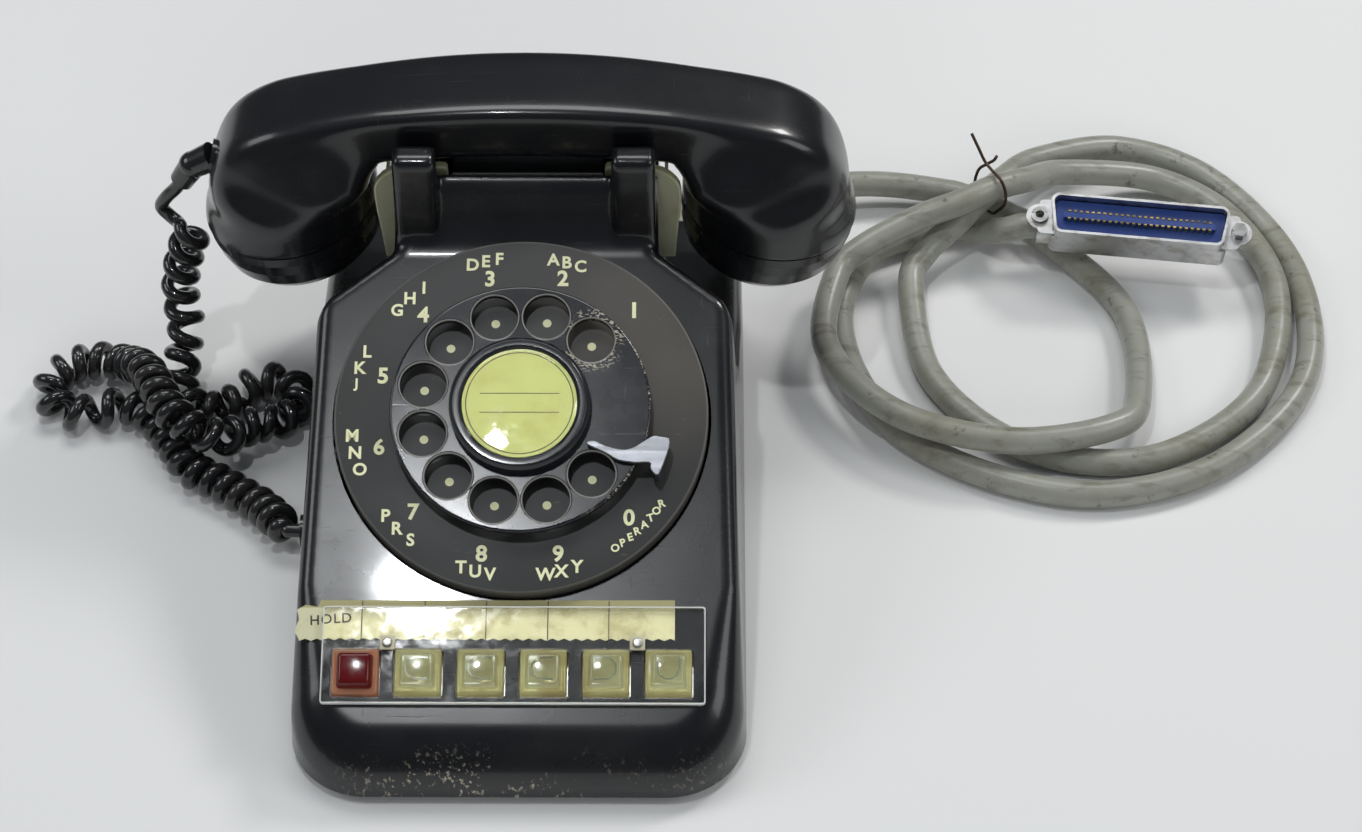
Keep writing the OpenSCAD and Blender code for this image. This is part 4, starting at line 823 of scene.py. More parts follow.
def body_blocks(x, y, z):
    """The three blocks together, less the swelling of a fillet where two walls lie almost in one plane."""
    front = either(main_block(x, y, z), deck_block(x, y, z), 4)
    d = either(front, neck_block(x, y, z), 6)
    side = np.abs(x) - HALF_WIDTH + np.interp(y, (20, 60), (SIDE_LEAN, DECK_LEAN)) * (z - FOOT_Z)
    rear = y - np.maximum(HALF_DEPTH - REAR_LEAN * (z - FOOT_Z), 118)
    return np.maximum(d, np.maximum(side, rear))


def hand_hold(x, y, z):
    """Recess for a hand in the rear wall."""
    inner = np.hypot(np.maximum(np.abs(x) - 25, 0), np.maximum(np.abs(z - 76) - 9, 0)) - 6
    return np.maximum(inner, 98 - y)


def housing_form(x, y, z):
    """Blocks and prongs joined with fillets, less the trough and the hand hold, closed under the table."""
    d = either(body_blocks(x, y, z), prongs(x, y, z), 2.2)
    d = both(d, -outline_distance(TROUGH, y, z), 1.5)
    return np.maximum(both(d, -hand_hold(x, y, z), 1.5), 1 - z)


def cavity_form(x, y, z):
    """Room inside the walls, round the trough, the hand hold and the screw bosses."""
    d = np.maximum(body_blocks(x, y, z) + WALL, WALL - outline_distance(TROUGH, y, z))
    d = np.maximum(d, WALL - hand_hold(x, y, z))
    for px, py in SCREW_PLACES:
        top = 15 if py < 0 else 38.7
        d = np.maximum(d, -np.maximum(np.hypot(x - px, y - py) - 5.0, z - FOOT_Z - top))
    return np.maximum(d, -z)


KEY_COUNT = 6
KEY_PITCH = 20.84
KEY_ROW_X = -1.3
KEY_V = -90.7
KEY_HOLE_W = 16.6


def key_place(i):
    """Middle of key i across the face; the first is the hold key."""
    return KEY_ROW_X + (i - 2.5) * KEY_PITCH


def make_housing():
    """Housing shell: the outer form less its cavity, the dial's hole, the key holes and the slots."""
    shell = surface_net("housing_shell", housing_form, (-80.25, -122.75, -1.5), (80.25, 122.75, 128.75),
                        DISTANCE_STEP)
    room = surface_net("cavity", cavity_form, (-80, -122, -5.5), (80, 122, 113.5), 2 * DISTANCE_STEP)
    shell = cut_out(shell, room)
    flat = face_matrix()
    cutters = [lathe("dial_hole", np.array([(0, -10), (64.9, -10), (64.9, 10), (0, 10)]), 192, flat)]
    for i in range(KEY_COUNT):
        hole = (KEY_HOLE_W, KEY_HOLE_W, 9)
        cutters.append(soft_box("key_hole", hole, (key_place(i), KEY_V, -1.5), 0.8, flat, segments=2))
    level = Matrix.Identity(4)
    for side in (-1, 1):
        cutters.append(soft_box("slot", (60, 17.8, 70), (side * 56.5, 83.1, 97), 0.4, level, segments=1))
    cutters.append(soft_box("under", (200, 280, 24), (0, 0, FOOT_Z - 12), 0.2, level, segments=1))
    for place, axis, r in (((-77, -10, 12), "Y", 4.5), ((45, 118, 15), "X", 6.5)):
        spin = Matrix.Rotation(math.radians(90), 4, axis)
        bore = np.array([(0, -7), (r, -7), (r, 7), (0, 7)])
        cutters.append(lathe("bore", bore, 48, Matrix.Translation(place) @ spin))
    shell = cut_out(shell, joined("cutters", cutters))
    tidy(shell, 58, outward=False)
    finish_piece(shell, "phone", "housing", ["housing"])


# Handset
CUP = np.array([85.5, 89.0, 80.0])
CUP_LEAN = 9.0
CUP_R = 31.5
SECTION_POINTS = 96
FAN = [
    (15, 9.5, 35.3, 17, 3.8, 7, 0.035), (30, 8, 37.2, 19.4, 3.7, 7, 0.144),
    (45, 7, 42, 22.6, 3.6, 6.5, 0.243), (57, 6.4, 48.6, 26, 3.4, 6, 0.327),
    (67, 6.1, 54.6, 28.6, 3.1, 5.4, 0.374), (75, 6, 58.6, 30.2, 2.8, 5, 0.387),
    (83, 5.9, 61.4, 31.2, 2.5, 4.2, 0.343), (91, 5.9, 63.8, 31.8, 2.2, 2.7, 0.14),
    (99, 5.9, 65.9, 32, 2, 2, 0.0),
]


def section(at, heading, inner, outer, half_width, squareness, ridge=0.0, draw=0.0):
    """A ring in a plane: a superellipse between two reaches from a point, along a heading in X and Z. Its
    outer half may have squarer corners, and is drawn in by a share of its width towards its top."""
    a = 2 * math.pi * np.arange(SECTION_POINTS) / SECTION_POINTS
    power = np.where(np.cos(a) > 0, ridge or squareness, squareness)
    ca = np.sign(np.cos(a)) * np.abs(np.cos(a)) ** (2 / power)
    sa = np.sign(np.sin(a)) * np.abs(np.sin(a)) ** (2 / power)
    m = (inner + outer) / 2 + (outer - inner) / 2 * ca
    t = np.clip((ca + 0.5) / 1.5, 0, 1)
    across = half_width * sa * (1 - draw * t * t * (3 - 2 * t))
    return np.stack([at[0] + heading[0] * m, CUP[1] + across, at[1] + heading[1] * m], axis=1)


def cup_ring(up, r):
    """A round ring about the cup's axis, at a height above the cup's mouth."""
    lean = math.radians(CUP_LEAN)
    at = (CUP[0] + up * math.sin(lean), CUP[2] + up * math.cos(lean))
    return section(at, (math.cos(lean), -math.sin(lean)), -r, r, r, 2)


def handle_rings():
    """Rings from the middle of the handle to the seam of one cup."""
    rings = [section((x, 0), (0, 1), 112 - x * x / 700, 136.6 - x * x / 630, 17.2 - x * x / 3060, 3.8, 7)
             for x in (0, 12, 24, 36, 49.5)]
    for turn, *shape in FAN:
        t = math.radians(turn)
        rings.append(section((49.5, 97), (math.sin(t), math.cos(t)), *shape))
    lean = math.radians(CUP_LEAN)
    rings.append(section((CUP[0], 85.5), (math.cos(lean), -math.sin(lean)), -31.3, 31.2, 31.9, 2))
    rings.append(cup_ring(0.9, CUP_R + 0.1))
    rings.append(cup_ring(0.5, CUP_R - 0.3))
    return np.array(rings)


def make_handle():
    """Handle: a smooth skin over the rings of both halves, ended by a lip and a recess for each cap."""
    half = spline(handle_rings(), 5)
    lip = np.array([cup_ring(0.5, 30.2), cup_ring(0.5, 28.6), cup_ring(1.5, 28.5), cup_ring(7.5, 28.5),
                    cup_ring(7.5, 22), cup_ring(13, 22), cup_ring(13, 0.01)])
    right = np.concatenate([half, lip])
    left = right[:0:-1] * np.array([-1, 1, 1])
    rings = np.concatenate([left, right])
    faces = grid_faces(len(rings), SECTION_POINTS, True)
    handle = new_object("handset_grip", rings.reshape(-1, 3), faces)
    merge_points(handle, 0.00003)
    tidy(handle, 40)
    finish_piece(handle, "handset", "handset", ["handset_handle"])


# Plungers
def make_plungers():
    """Two clear paddles in the cradle, each with the ribs that the handle rests on."""
    outline = [(27.5, 52), (27.5, 107.2), (28.2, 108.3), (29.4, 108.6), (36, 108.4), (44, 107.6),
               (47.6, 106.4), (50.6, 104.2), (52.8, 101.4), (53.8, 99.2), (54.2, 97), (54.2, 92),
               (53.8, 86), (53.2, 80), (52, 64), (41, 64), (41, 52)]
    front_rib = [(35.8, 52), (38, 52), (38, 109.1), (36.9, 109.4), (35.8, 109.4)]
    side_rib = [(48.4, 64), (49.6, 64), (49.6, 103.6), (48.4, 104.4)]
    for side, name in ((-1, "left"), (1, "right")):
        upright = Matrix(((side, 0, 0, 0), (0, 0, 1, 0), (0, 1, 0, 0), (0, 0, 0, 1)))
        sheets = [plate("paddle", [outline], 75, 78.2, 0.7, upright),
                  plate("rib", [front_rib], 78, 90, 0.3, upright),
                  plate("rib", [side_rib], 78, 86, 0.2, upright)]
        piece = joined(f"plunger_{name}_clear", sheets)
        tidy(piece)
        piece.visible_shadow = False
        finish_piece(piece, f"{name}_plunger", "pale_clear", [f"plunger_{name}"])


# Dial
def text_piece(words, height, x, v, h, turn=0.0, bold=0.03, spacing=1.0):
    """Figures on the face: a mesh whose own box has the height given and its middle at the place."""
    curve = bpy.data.curves.new("figure", "FONT")
    curve.body = words
    curve.extrude = 0.01
    curve.offset = bold
    curve.space_character = spacing
    curve.resolution_u = 4
    out = evaluated(linked("figure", curve), "figure")
    points = np.empty(3 * len(out.data.vertices))
    out.data.vertices.foreach_get("co", points)
    low, high = points.reshape(-1, 3).min(axis=0), points.reshape(-1, 3).max(axis=0)
    scale = height / (high[1] - low[1])
    flat = Matrix.Diagonal((scale, scale, 5.0, 1.0)) @ Matrix.Translation(-Vector((low + high) / 2))
    out.data.transform(Matrix.Scale(MM, 4) @ face_matrix(x, v, h, turn) @ flat)
    return out


PLATE_H = 5.0
WHEEL_H = 8.5
WHEEL_T = 3.0
WHEEL_EDGE = 0.9
HOLE_RING = 34.2
HOLE_COUNT = 10
HOLE_R = 7.9
FIRST_HOLE = 46.0
LETTER_RING = 57.9
DIGITS = [
    ("1", 54.0, 45.0), ("2", 51.8, 75.0), ("3", 51.2, 103.4), ("4", 50.2, 133.5), ("5", 49.6, 163.8),
    ("6", 49.5, 194.0), ("7", 50.1, 224.7), ("8", 51.4, 256.2), ("9", 51.7, 285.1), ("0", 52.5, 315.1),
]
LETTERS = [
    ("CBA", 75.2, 4.85), ("FED", 103.3, 4.7), ("IHG", 132.8, 6.1), ("LKJ", 163.2, 6.3),
    ("MNO", 194.1, 6.2), ("PRS", 225.2, 6.0), ("TUV", 255.8, 5.0), ("WXY", 284.7, 5.4),
]


def polar(r, angle):
    """Place at a reach and an angle in degrees from the dial's centre."""
    a = math.radians(angle)
    return r * math.cos(a), r * math.sin(a)


def hole_place(i):
    """Middle of finger hole i."""
    return polar(HOLE_RING, FIRST_HOLE + 30 * i)


def make_number_plate():
    """Number plate: a disc with a rim wall, its figures, and a dot under each finger hole."""
    corners = [(8, 3.4, 0.3), (8, PLATE_H, 0.3), (63.9, PLATE_H, 0.55), (63.9, -2, 0.2), (61.9, -2, 0.2),
               (61.9, 3.4, 0.3)]
    disc = lathe("dial_number_plate", soft_loop(corners, 4), 192, face_matrix())
    finish_piece(disc, "phone", "plate_grey", ["number_plate"])
    size = bpy.context.scene.telephone.figure_size / MM
    high = PLATE_H + 0.02
    marks = []
    for digit, r, angle in DIGITS:
        x, v = polar(r, angle)
        if digit == "1":
            marks.append(soft_box("bar", (1.35, size, 0.1), (x, v, high), 0.02, face_matrix(), segments=1))
        else:
            marks.append(text_piece(digit, size, x, v, high))
    for letters, middle, step in LETTERS:
        for k, letter in enumerate(letters):
            x, v = polar(LETTER_RING, middle + step * (k - 1))
            marks.append(text_piece(letter, 0.77 * size, x, v, high))
    for k, letter in enumerate("OPERATOR"):
        x, v = polar(LETTER_RING, -55.7 + 22.1 * k / 7)
        marks.append(text_piece(letter, 0.475 * size, x, v, high, 0.28))
    low = PLATE_H - 0.02
    top = PLATE_H + 0.07
    dot = np.array([(0, low), (1.5, low), (1.5, top), (0, top)])
    marks += [lathe("dot", dot, 20, face_matrix(*hole_place(i))) for i in range(HOLE_COUNT)]
    finish_piece(joined("dial_figures", marks), "phone", "figures")


def make_dial():
    """Finger wheel with ten holes, the ring round the number card, the card and its window."""
    flat = face_matrix()
    top = WHEEL_H + WHEEL_T
    loops = [circle_points(0, 0, 44.5, 160), circle_points(0, 0, 4.4, 32, True)]
    loops += [circle_points(*hole_place(i), HOLE_R, 64, True) for i in range(HOLE_COUNT)]
    wheel = plate("dial_finger_wheel", loops, WHEEL_H, top, WHEEL_EDGE, flat, 4)
    finish_piece(wheel, "dial", "dial", ["finger_wheel"])
    # Pale rings on the top of each finger hole's bevel: partly rubbed wear, partly a painted highlight along
    # the bevel.
    turns = np.radians([34, 46, 58, 70])
    arcs = [(reach, t) for reach, order in ((0.93, turns), (0.8, turns[::-1])) for t in order]
    rim = np.array([(HOLE_R + WHEEL_EDGE - reach * math.cos(t), top - WHEEL_EDGE + reach * math.sin(t))
                    for reach, t in arcs])
    rims = [lathe("rim", rim, 64, face_matrix(*hole_place(i))) for i in range(HOLE_COUNT)]
    finish_piece(joined("dial_hole_rims", rims), "dial", "rubbed_and_highlit_edge")
    corners = [(19.7, top, 0.1), (19.7, top + 4.6, 0.3), (20.6, top + 5.5, 0.4), (22.6, top + 5.5, 0.7),
               (24, top + 4.0, 0.6), (24, top, 0.1)]
    ring = lathe("dial_card_ring", soft_loop(corners, 5), 144, flat)
    finish_piece(ring, "dial", "dial", ["card_ring"])
    card = lathe("dial_card", np.array([(0, 12.5), (19.5, 12.5), (19.5, 15.8), (0, 15.8)]), 96, flat)
    finish_piece(card, "dial", "card", ["number_card"])
    lines = []
    for v in (3.4, -3.4):
        lines.append(soft_box("rule", (27.0, 0.28, 0.06), (0, v, 15.82), 0.01, flat, segments=1))
    rim = np.array([(18.0, 15.8), (18.35, 15.8), (18.35, 15.84), (18.0, 15.84)])
    lines.append(lathe("rule", rim, 96, flat))
    finish_piece(joined("dial_card_lines", lines), "dial", "print")
    reach = np.linspace(19.4, 0, 12)
    dome = np.array([(0, 15.86), (19.5, 15.86), (19.5, 15.98), *zip(reach, 16.55 - reach ** 2 / 720)])
    window = lathe("dial_card_window", dome, 96, flat)
    window.visible_shadow = False
    finish_piece(window, "dial", "window", ["card_window"])


def make_finger_stop():
    """Finger stop: a flat hook over the wheel, bent up from a plate that stands in the number plate."""
    outline = [(23, -13.1), (25.5, -12.8), (29.3, -14.6), (34.8, -15.9), (38.6, -15.1), (41.7, -13.1),
               (44.8, -11.2), (47.1, -11.1), (50.9, -13), (48, -22.9), (46.4, -24.9), (44.5, -22.9),
               (44.1, -20.6), (39.5, -20.6), (34.8, -20), (32.5, -19.2), (29.4, -17.2), (23.3, -14.3)]
    loop = spline([(*p, 0) for p in [*outline, outline[0]]], 4)[:-1, :2]
    hook = plate("hook", [[tuple(p) for p in loop]], 12.7, 14.0, 0.3, face_matrix())
    turned = face_matrix(48.3, -17.6, 0, math.radians(-17))
    foot = soft_box("foot", (1.3, 12.6, 11.2), (0, 0, 8.2), 0.3, turned)
    stop = joined("dial_finger_stop", [hook, foot])
    finish_piece(stop, "phone", "steel", ["finger_stop"])


# Keys
def make_keys():
    """Six clear keys with raised lenses; the hold key's lens is red and stands on its own."""
    flat = face_matrix()
    for i in range(KEY_COUNT):
        x = key_place(i)
        skirt = soft_box("skirt", (15.8, 15.8, 6.5), (x, KEY_V, 1.25), 1.0, flat, 0.02, 4)
        pocket = soft_box("pocket", (13.4, 13.4, 6.9), (x, KEY_V, -0.55), 0.4, flat, segments=1)
        skirt = cut_out(skirt, pocket)
        stem = soft_box("stem", (5, 3, 17.2), (x, KEY_V + 4.5, -5.5), 0.2, flat, 0.0, 1)
        lens = soft_box("lens", (12.6, 12.6, 5.0), (x, KEY_V, 6.0), 1.4, flat, 0.15, 5)
        if i == 0:
            base = joined("key_hold_base", [skirt, stem])
            base.visible_shadow = False
            finish_piece(base, "hold_key", "hold_cap", ["hold_button"])
            lens.name = "key_hold_lens"
            finish_piece(lens, "hold_key", "red_lens", ["hold_lens"])
            continue
        base = joined(f"key_{i}_base", [skirt, stem])
        base.visible_shadow = False
        finish_piece(base, f"line_key_{i}", "line_cap", [f"line_button_{i}"])
        bend = np.linspace(math.pi, 2 * math.pi, 13)
        mark = [(-4, 3.8), *((4 * math.cos(t), 4 * math.sin(t)) for t in bend), (4, 3.8), (3.2, 3.8),
                *((3.2 * math.cos(t), 3.2 * math.sin(t)) for t in bend[::-1]), (-3.2, 3.8)]
        turned = face_matrix(x, KEY_V, 0, 0 if i == 5 else math.pi / 2 if i == 4 else -math.pi / 2)
        groove = plate("mark", [mark], 8.4, 8.66, 0.1, turned)
        top = joined(f"key_{i}_lens", [lens, groove])
        top.visible_shadow = False
        finish_piece(top, f"line_key_{i}", "line_lens")


COVER_MIDDLE = (-0.9, -84.4)


def make_face_plate():
    """Clear plate over the paper strip, with a square hole for each key, and the two clips on it."""
    flat = face_matrix()
    loops = [round_box_points(127.1, 32.7, 0.6, *COVER_MIDDLE)]
    for i in range(KEY_COUNT):
        loops.append(round_box_points(KEY_HOLE_W, KEY_HOLE_W, 0.8, key_place(i), KEY_V)[::-1])
    cover = plate("face_cover", loops, 0.6, 2.6, 0.22, flat)
    cover.visible_shadow = False
    finish_piece(cover, "phone", "cover", ["face_plate"])
    ring = [round_box_points(128, 33.6, 1, *COVER_MIDDLE),
            round_box_points(127.14, 32.74, 0.6, *COVER_MIDDLE)[::-1]]
    edge = plate("face_cover_edge", ring, 0.6, 2.6, 0.12, flat)
    finish_piece(edge, "phone", "cover_edge")
    clips = []
    rivets = []
    for x, v in ((-43, -80.6), (40.4, -80.6)):
        clips.append(soft_box("clip", (5.1, 4.9, 0.8), (x, v + 0.1, 3.0), 0.25, flat))
        button = soft_profile([(0, 3.36, 0), (1.75, 3.36, 0.05), (1.75, 4.3, 0.6), (0, 4.3, 0)], 4)
        rivets.append(lathe("rivet", button, 28, face_matrix(x, v)))
    finish_piece(joined("cover_clips", clips), "phone", "cream_plastic",
                 ["face_plate_clips"])
    finish_piece(joined("cover_rivets", rivets), "phone", "screw_steel")


def make_strip():
    """Paper strip under the cover: one torn end, division lines and a plain heading over the first key."""
    flat = face_matrix()
    lower = [(-72.8 + 1.97 * k, -79.2 + (0.8 if k % 2 else 0.0)) for k in range(64)]
    outline = [(52.8, -79), (52.8, -64.8), (0, -64.9), (-66, -65), (-67, -67.4), (-69.4, -66.9), (-71, -66.6),
               (-74, -68.4), (-73.4, -70.4), (-73.2, -72), (-74.0, -74), (-74.4, -76), (-73.4, -77.8), *lower]
    strip = plate("paper_strip", [outline], 0.15, 0.45, 0.05, flat, 1)
    finish_piece(strip, "phone", "paper", ["designation_strip"])
    marks = [soft_box("line", (0.35, 13.6, 0.05), (x, -72, 0.46), 0.01, flat, segments=1)
             for x in (-52, -31, -10.4, 10.3, 30.7)]
    marks.append(text_piece("HOLD", 3.4, -62.4, -71.7, 0.5, 0.06, 0.01, 1.15))
    finish_piece(joined("strip_print", marks), "phone", "print")


# Free cords
CORD_D = 5.0
CURL_D = 9.6
CORD_ROUTE = [
    (-122, 85, 68, 9), (-126, 85, 57, 9.5), (-129, 84, 46, 9.5), (-130, 82, 35, 9.5),
    (-129, 78.5, 25, 9.5), (-130.5, 72.5, 16, 9), (-130.5, 59.5, 10, 9.25), (-125, 53, 8, 9),
    (-117.5, 52, 7.5, 8.5), (-111, 55.5, 7.5, 8.75), (-105.5, 63.5, 7.5, 8.75), (-98.5, 66.5, 7.5, 8.75),
    (-91, 64.5, 7.5, 9.5), (-86.5, 58, 7.5, 9.5), (-87.5, 50, 8, 9.5), (-93.5, 44, 9.5, 7.5),
    (-100.5, 41.5, 11, 7), (-105, 38.5, 12, 8), (-109.5, 33, 14, 9.5), (-114, 30, 17, 9.5),
    (-119.5, 29.5, 20, 8.5), (-125.5, 32.5, 22, 7.25), (-131.5, 39, 22, 6.75), (-137, 49.5, 22, 7),
    (-143.5, 61.5, 19, 7), (-152.5, 72.5, 10, 8.25), (-161, 76, 8, 8), (-170, 75, 7.5, 7.5),
    (-177, 69.5, 7.5, 8.5), (-179.5, 62, 7.5, 9.5), (-177, 54.5, 7.5, 9.5), (-171, 50.5, 7.5, 10),
    (-163.5, 50, 7.5, 11), (-155.5, 53, 7.5, 10.25), (-148.5, 53, 7.5, 9.25), (-142.5, 49.5, 7.5, 8),
    (-135.5, 41.5, 7.5, 6.75), (-129, 31.5, 7.5, 6.75), (-123, 22.5, 7.5, 7), (-113, 16.5, 7.5, 6.5),
    (-103.5, 10, 7.5, 6.5), (-95, 3.5, 8, 6.5), (-85, -10, 12, 6),
]
BOOT_TIP = np.array([-124.3, 89.0, 88.5])
BOOT_BEND = np.array([-119.5, 89.0, 96.0])
CORD_TAIL = [(-84.8, -10, 12), (-80.4, -10, 12)]
RINGS_PER_CURL = 24

CABLE_D = 10.0
CABLE_ROUTE = [
    (45, 122, 15), (45, 127, 15), (48, 135, 15), (66, 154, 14), (120, 168, 11), (156, 167, 8),
    (170, 162, 6.5), (182, 156, 5.5), (192, 146, 5.5), (221, 106, 5.5), (222, 57, 10), (210, 38, 14),
    (172, 29, 17), (132, 43, 16.5), (108, 76, 15.5), (112, 112, 16.5), (122, 124, 19.5), (144, 136, 24),
    (160, 140, 28.5), (172, 147, 29), (186, 156, 25), (202, 168, 17.5), (239, 174, 8), (266, 153, 7.5),
    (279.5, 113, 7.5), (268, 64, 5.5), (233, 34, 5), (198, 30, 5), (168, 44, 5), (146, 74, 5),
    (141, 116, 8), (147, 130, 11.5), (158, 140, 16), (167, 149, 19.5), (178, 162, 19.5), (193, 178, 15),
    (227, 192, 7.5), (262, 176, 5), (288, 128, 5), (286, 72, 5), (252, 30, 5), (208, 14, 5), (167, 22, 5),
    (134, 44, 5), (118, 74, 5), (114, 104, 5), (122, 130, 5), (132, 140, 5), (156, 149, 5.5),
    (168, 145, 8.5), (177, 138, 15.5), (183.5, 136.2, 19.4), (189.4, 135.5, 20.7), (193, 135.1, 20.8),
]

TIE_D = 1.2
TIE_AT = (172.0, 150.0)
TIE_TURN = 33.5
TIE_SHAPE = [
    (14, 44, 0), (9, 40, 0), (4.6, 36.6, 0), (0, 35.6, 0), (-5.6, 35, 0), (-9, 31, 0), (-9, 25, 0),
    (-5.4, 18.6, 0), (-2.6, 15, 0), (2, 13.9, 0), (6.4, 14.8, 0), (9.2, 17.6, 0), (9.6, 22.4, 0),
    (8.6, 29, 0.6), (5.6, 33.6, 1.8), (2.4, 37.8, 2.4), (1, 41, 2.4),
]


def curly_wire():
    """Centreline of the curly cord's wire: c + r (cos a u - sin a w) about its route, with a growing by
    the travel over the pitch, and the radius eased to nothing at the end; then straight leads."""
    fine = spline(CORD_ROUTE, 10)
    middle = fine[:, :3]
    steps = np.linalg.norm(np.diff(middle, axis=0), axis=1)
    pitch = (fine[1:, 3] + fine[:-1, 3]) / 2
    turns = np.concatenate([[0], np.cumsum(steps / pitch)])
    total = turns[-1]
    side = side_vectors(middle, (-1, 0, 0))
    across = np.cross(tangents(middle), side)
    at = np.linspace(0, total, int(total * RINGS_PER_CURL))

    def along(values):
        return np.stack([np.interp(at, turns, values[:, k]) for k in range(3)], axis=1)

    u = unit(along(side))
    w = unit(along(across))
    ease = np.clip((total - at) / 0.9, 0, 1)
    r = CURL_D / 2 * (ease * ease * (3 - 2 * ease))
    a = 2 * math.pi * at
    curls = along(middle) + r[:, None] * (np.cos(a)[:, None] * u - np.sin(a)[:, None] * w)
    heading = unit(BOOT_TIP - BOOT_BEND)
    lead = spline([BOOT_TIP + 0.2 * heading, BOOT_TIP + 4.4 * heading, (-131, 89.5, 79.5), (-133.5, 90.5, 74),
                   (-131, 90, 70), (-128, 88, 68.6), curls[0]], 8)
    return np.concatenate([lead[:-1], curls, np.array(CORD_TAIL, float)])


def make_curly_cord():
    """Black curly cord from the handset's boot to the grommet in the housing's side."""
    wire = curly_wire()
    verts, faces = tube_mesh(wire, CORD_D / 2, 12, (0, 1, 0))
    cord = new_object("curly_cord", verts, faces)
    finish_piece(cord, None, "cord_black", ["handset_cord"])
    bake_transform(cord)


def make_line_cable():
    """Grey line cable in a hank of three turns, and the wire tie round it."""
    line = spline(CABLE_ROUTE, 12)
    line[:, 2] = np.maximum(line[:, 2], CABLE_D / 2)
    verts, faces = tube_mesh(line, CABLE_D / 2, 28, (0, 0, 1))
    cable = new_object("line_cable_sheath", verts, faces)
    finish_piece(cable, "phone", "cable_grey", ["line_cable"])
    t = math.radians(TIE_TURN)
    shape = spline(TIE_SHAPE, 8)
    place = np.stack([TIE_AT[0] - shape[:, 0] * math.sin(t) + shape[:, 2] * math.cos(t),
                      TIE_AT[1] + shape[:, 0] * math.cos(t) + shape[:, 2] * math.sin(t), shape[:, 1]], axis=1)
    verts, faces = tube_mesh(place, TIE_D / 2, 10, (0, 0, 1))
    tie = new_object("hank_wire_tie", verts, faces)
    finish_piece(tie, "phone", "dark_wire", ["wire_tie"])


# CAD parts that stay
KEPT = {
    "plated_steel": "base_plate dial_frame dial_brackets key_frame latch_bar hook_bracket hook_lever "
                    "ringer_frame",
    "steel": "dial_shaft clapper",
    "screw_steel": "housing_screws connector_screws",
    "spring_steel": "mainspring",
    "connector_steel": "connector_shell",
    "brass": "main_gear pulsing_pinion governor gong_left gong_right",
    "aluminium": "transmitter_unit receiver_unit",
    "contact_metal": "pulse_contacts key_contacts hook_contacts",
    "gold_contact": "connector_contacts",
    "coil_winding": "ringer_coil",
    "lamp_glass": "key_lamps",
    "rubber": "rubber_feet",
    "handset": "transmitter_cap receiver_cap",
    "cord_black": "handset_boot cord_grommet cable_clamp",
    "dial": "loudness_wheel",
    "block_plastic": "network_block",
    "blue_plastic": "connector_insulator",
}


def dress_kept_parts():
    """Gives each CAD part that stays its finish."""
    for finish, nodes in KEPT.items():
        for node in nodes.split():
            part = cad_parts[node]
            if not part.material_slots:
                part.data.materials.append(FINISHES[finish])
            for slot in part.material_slots:
                slot.material = FINISHES[finish]


# Stage and camera
def make_camera():
    """Camera of the photograph, aimed at its target from its distance, elevation and heading."""
    e = math.radians(CAMERA_ELEVATION)
    a = math.radians(CAMERA_HEADING)
    forward = Vector((math.sin(a) * math.cos(e), math.cos(a) * math.cos(e), -math.sin(e)))
    up = Vector((math.sin(a) * math.sin(e), math.cos(a) * math.sin(e), math.cos(e)))
    right = forward.cross(up)
    roll = math.radians(CAMERA_ROLL)
    across = math.cos(roll) * right + math.sin(roll) * up
    above = -math.sin(roll) * right + math.cos(roll) * up
    data = bpy.data.cameras.new("photograph_camera")
    data.lens = CAMERA_LENS
    data.sensor_width = 36.0
    data.clip_start = 0.05
    data.clip_end = 20.0
    camera = linked("photograph_camera", data)
    at = (Vector(CAMERA_TARGET) - forward * CAMERA_DISTANCE) * MM
    rows = [[across[k], above[k], -forward[k], at[k]] for k in range(3)]
    camera.matrix_world = Matrix([*rows, [0, 0, 0, 1]])
    bpy.context.scene.camera = camera


def soft_light(name, at, size, power, colour=(1, 1, 1), aim=(0.0, 0.0, 0.05)):
    """A rectangular light at a place, aimed at another one, in metres."""
    data = bpy.data.lights.new(name, "AREA")
    data.shape = "RECTANGLE"
    data.size = size[0]
    data.size_y = size[1]
    data.energy = power
    data.color = colour
    lamp = linked(name, data)
    lamp.location = at
    lamp.rotation_euler = (Vector(aim) - Vector(at)).to_track_quat("-Z", "Y").to_euler()
    return lamp


def make_stage():
    """Pale floor, soft light from above and behind, and a dim room."""
    bm = bmesh.new()
    bmesh.ops.create_grid(bm, x_segments=1, y_segments=1, size=4.0)
    mesh = mesh_from(bm, "floor")
    material, n, shader = principled("floor_paper")
    set_values(shader, Base_Color=(0.80, 0.80, 0.79, 1), Roughness=0.9, Specular_IOR_Level=0.1)
    mesh.materials.append(material)
    linked("floor", mesh)
    soft_light("key_light", (1.05, 0.95, 1.35), (0.35, 0.35), 10, (1, 0.985, 0.965))
    soft_light("back_light", (-0.1, 0.9, 1.9), (1.3, 0.6), 12)
    soft_light("lamp_above", (-0.163, -0.192, 1.552), (0.055, 0.055), 3.4, (0.95, 0.98, 1),
               (-0.035, -0.065, 0.04))
    soft_light("right_light", (1.5, -0.3, 1.25), (0.9, 0.7), 5)
    soft_light("left_light", (-1.5, 0.1, 1.3), (0.9, 0.7), 6, (0.96, 0.98, 1))
    fill = soft_light("front_light", (0.1, -1.7, 1.0), (1.4, 0.6), 7)
    fill.visible_glossy = False
    world = bpy.data.worlds.new("room")
    world.use_nodes = True
    n = Nodes(world.node_tree)
    back = world.node_tree.nodes["Background"]
    direction = n.add("ShaderNodeTexCoord").outputs["Generated"]
    height = n.band(n.axes(direction)["Z"], -0.1, 0.9)
    n.link(n.mix(height, (0.09, 0.09, 0.095, 1), (0.11, 0.128, 0.15, 1)), back.inputs["Color"])
    set_values(back, Strength=1.0)
    bpy.context.scene.world = world
    bpy.context.scene.view_settings.view_transform = "Standard"


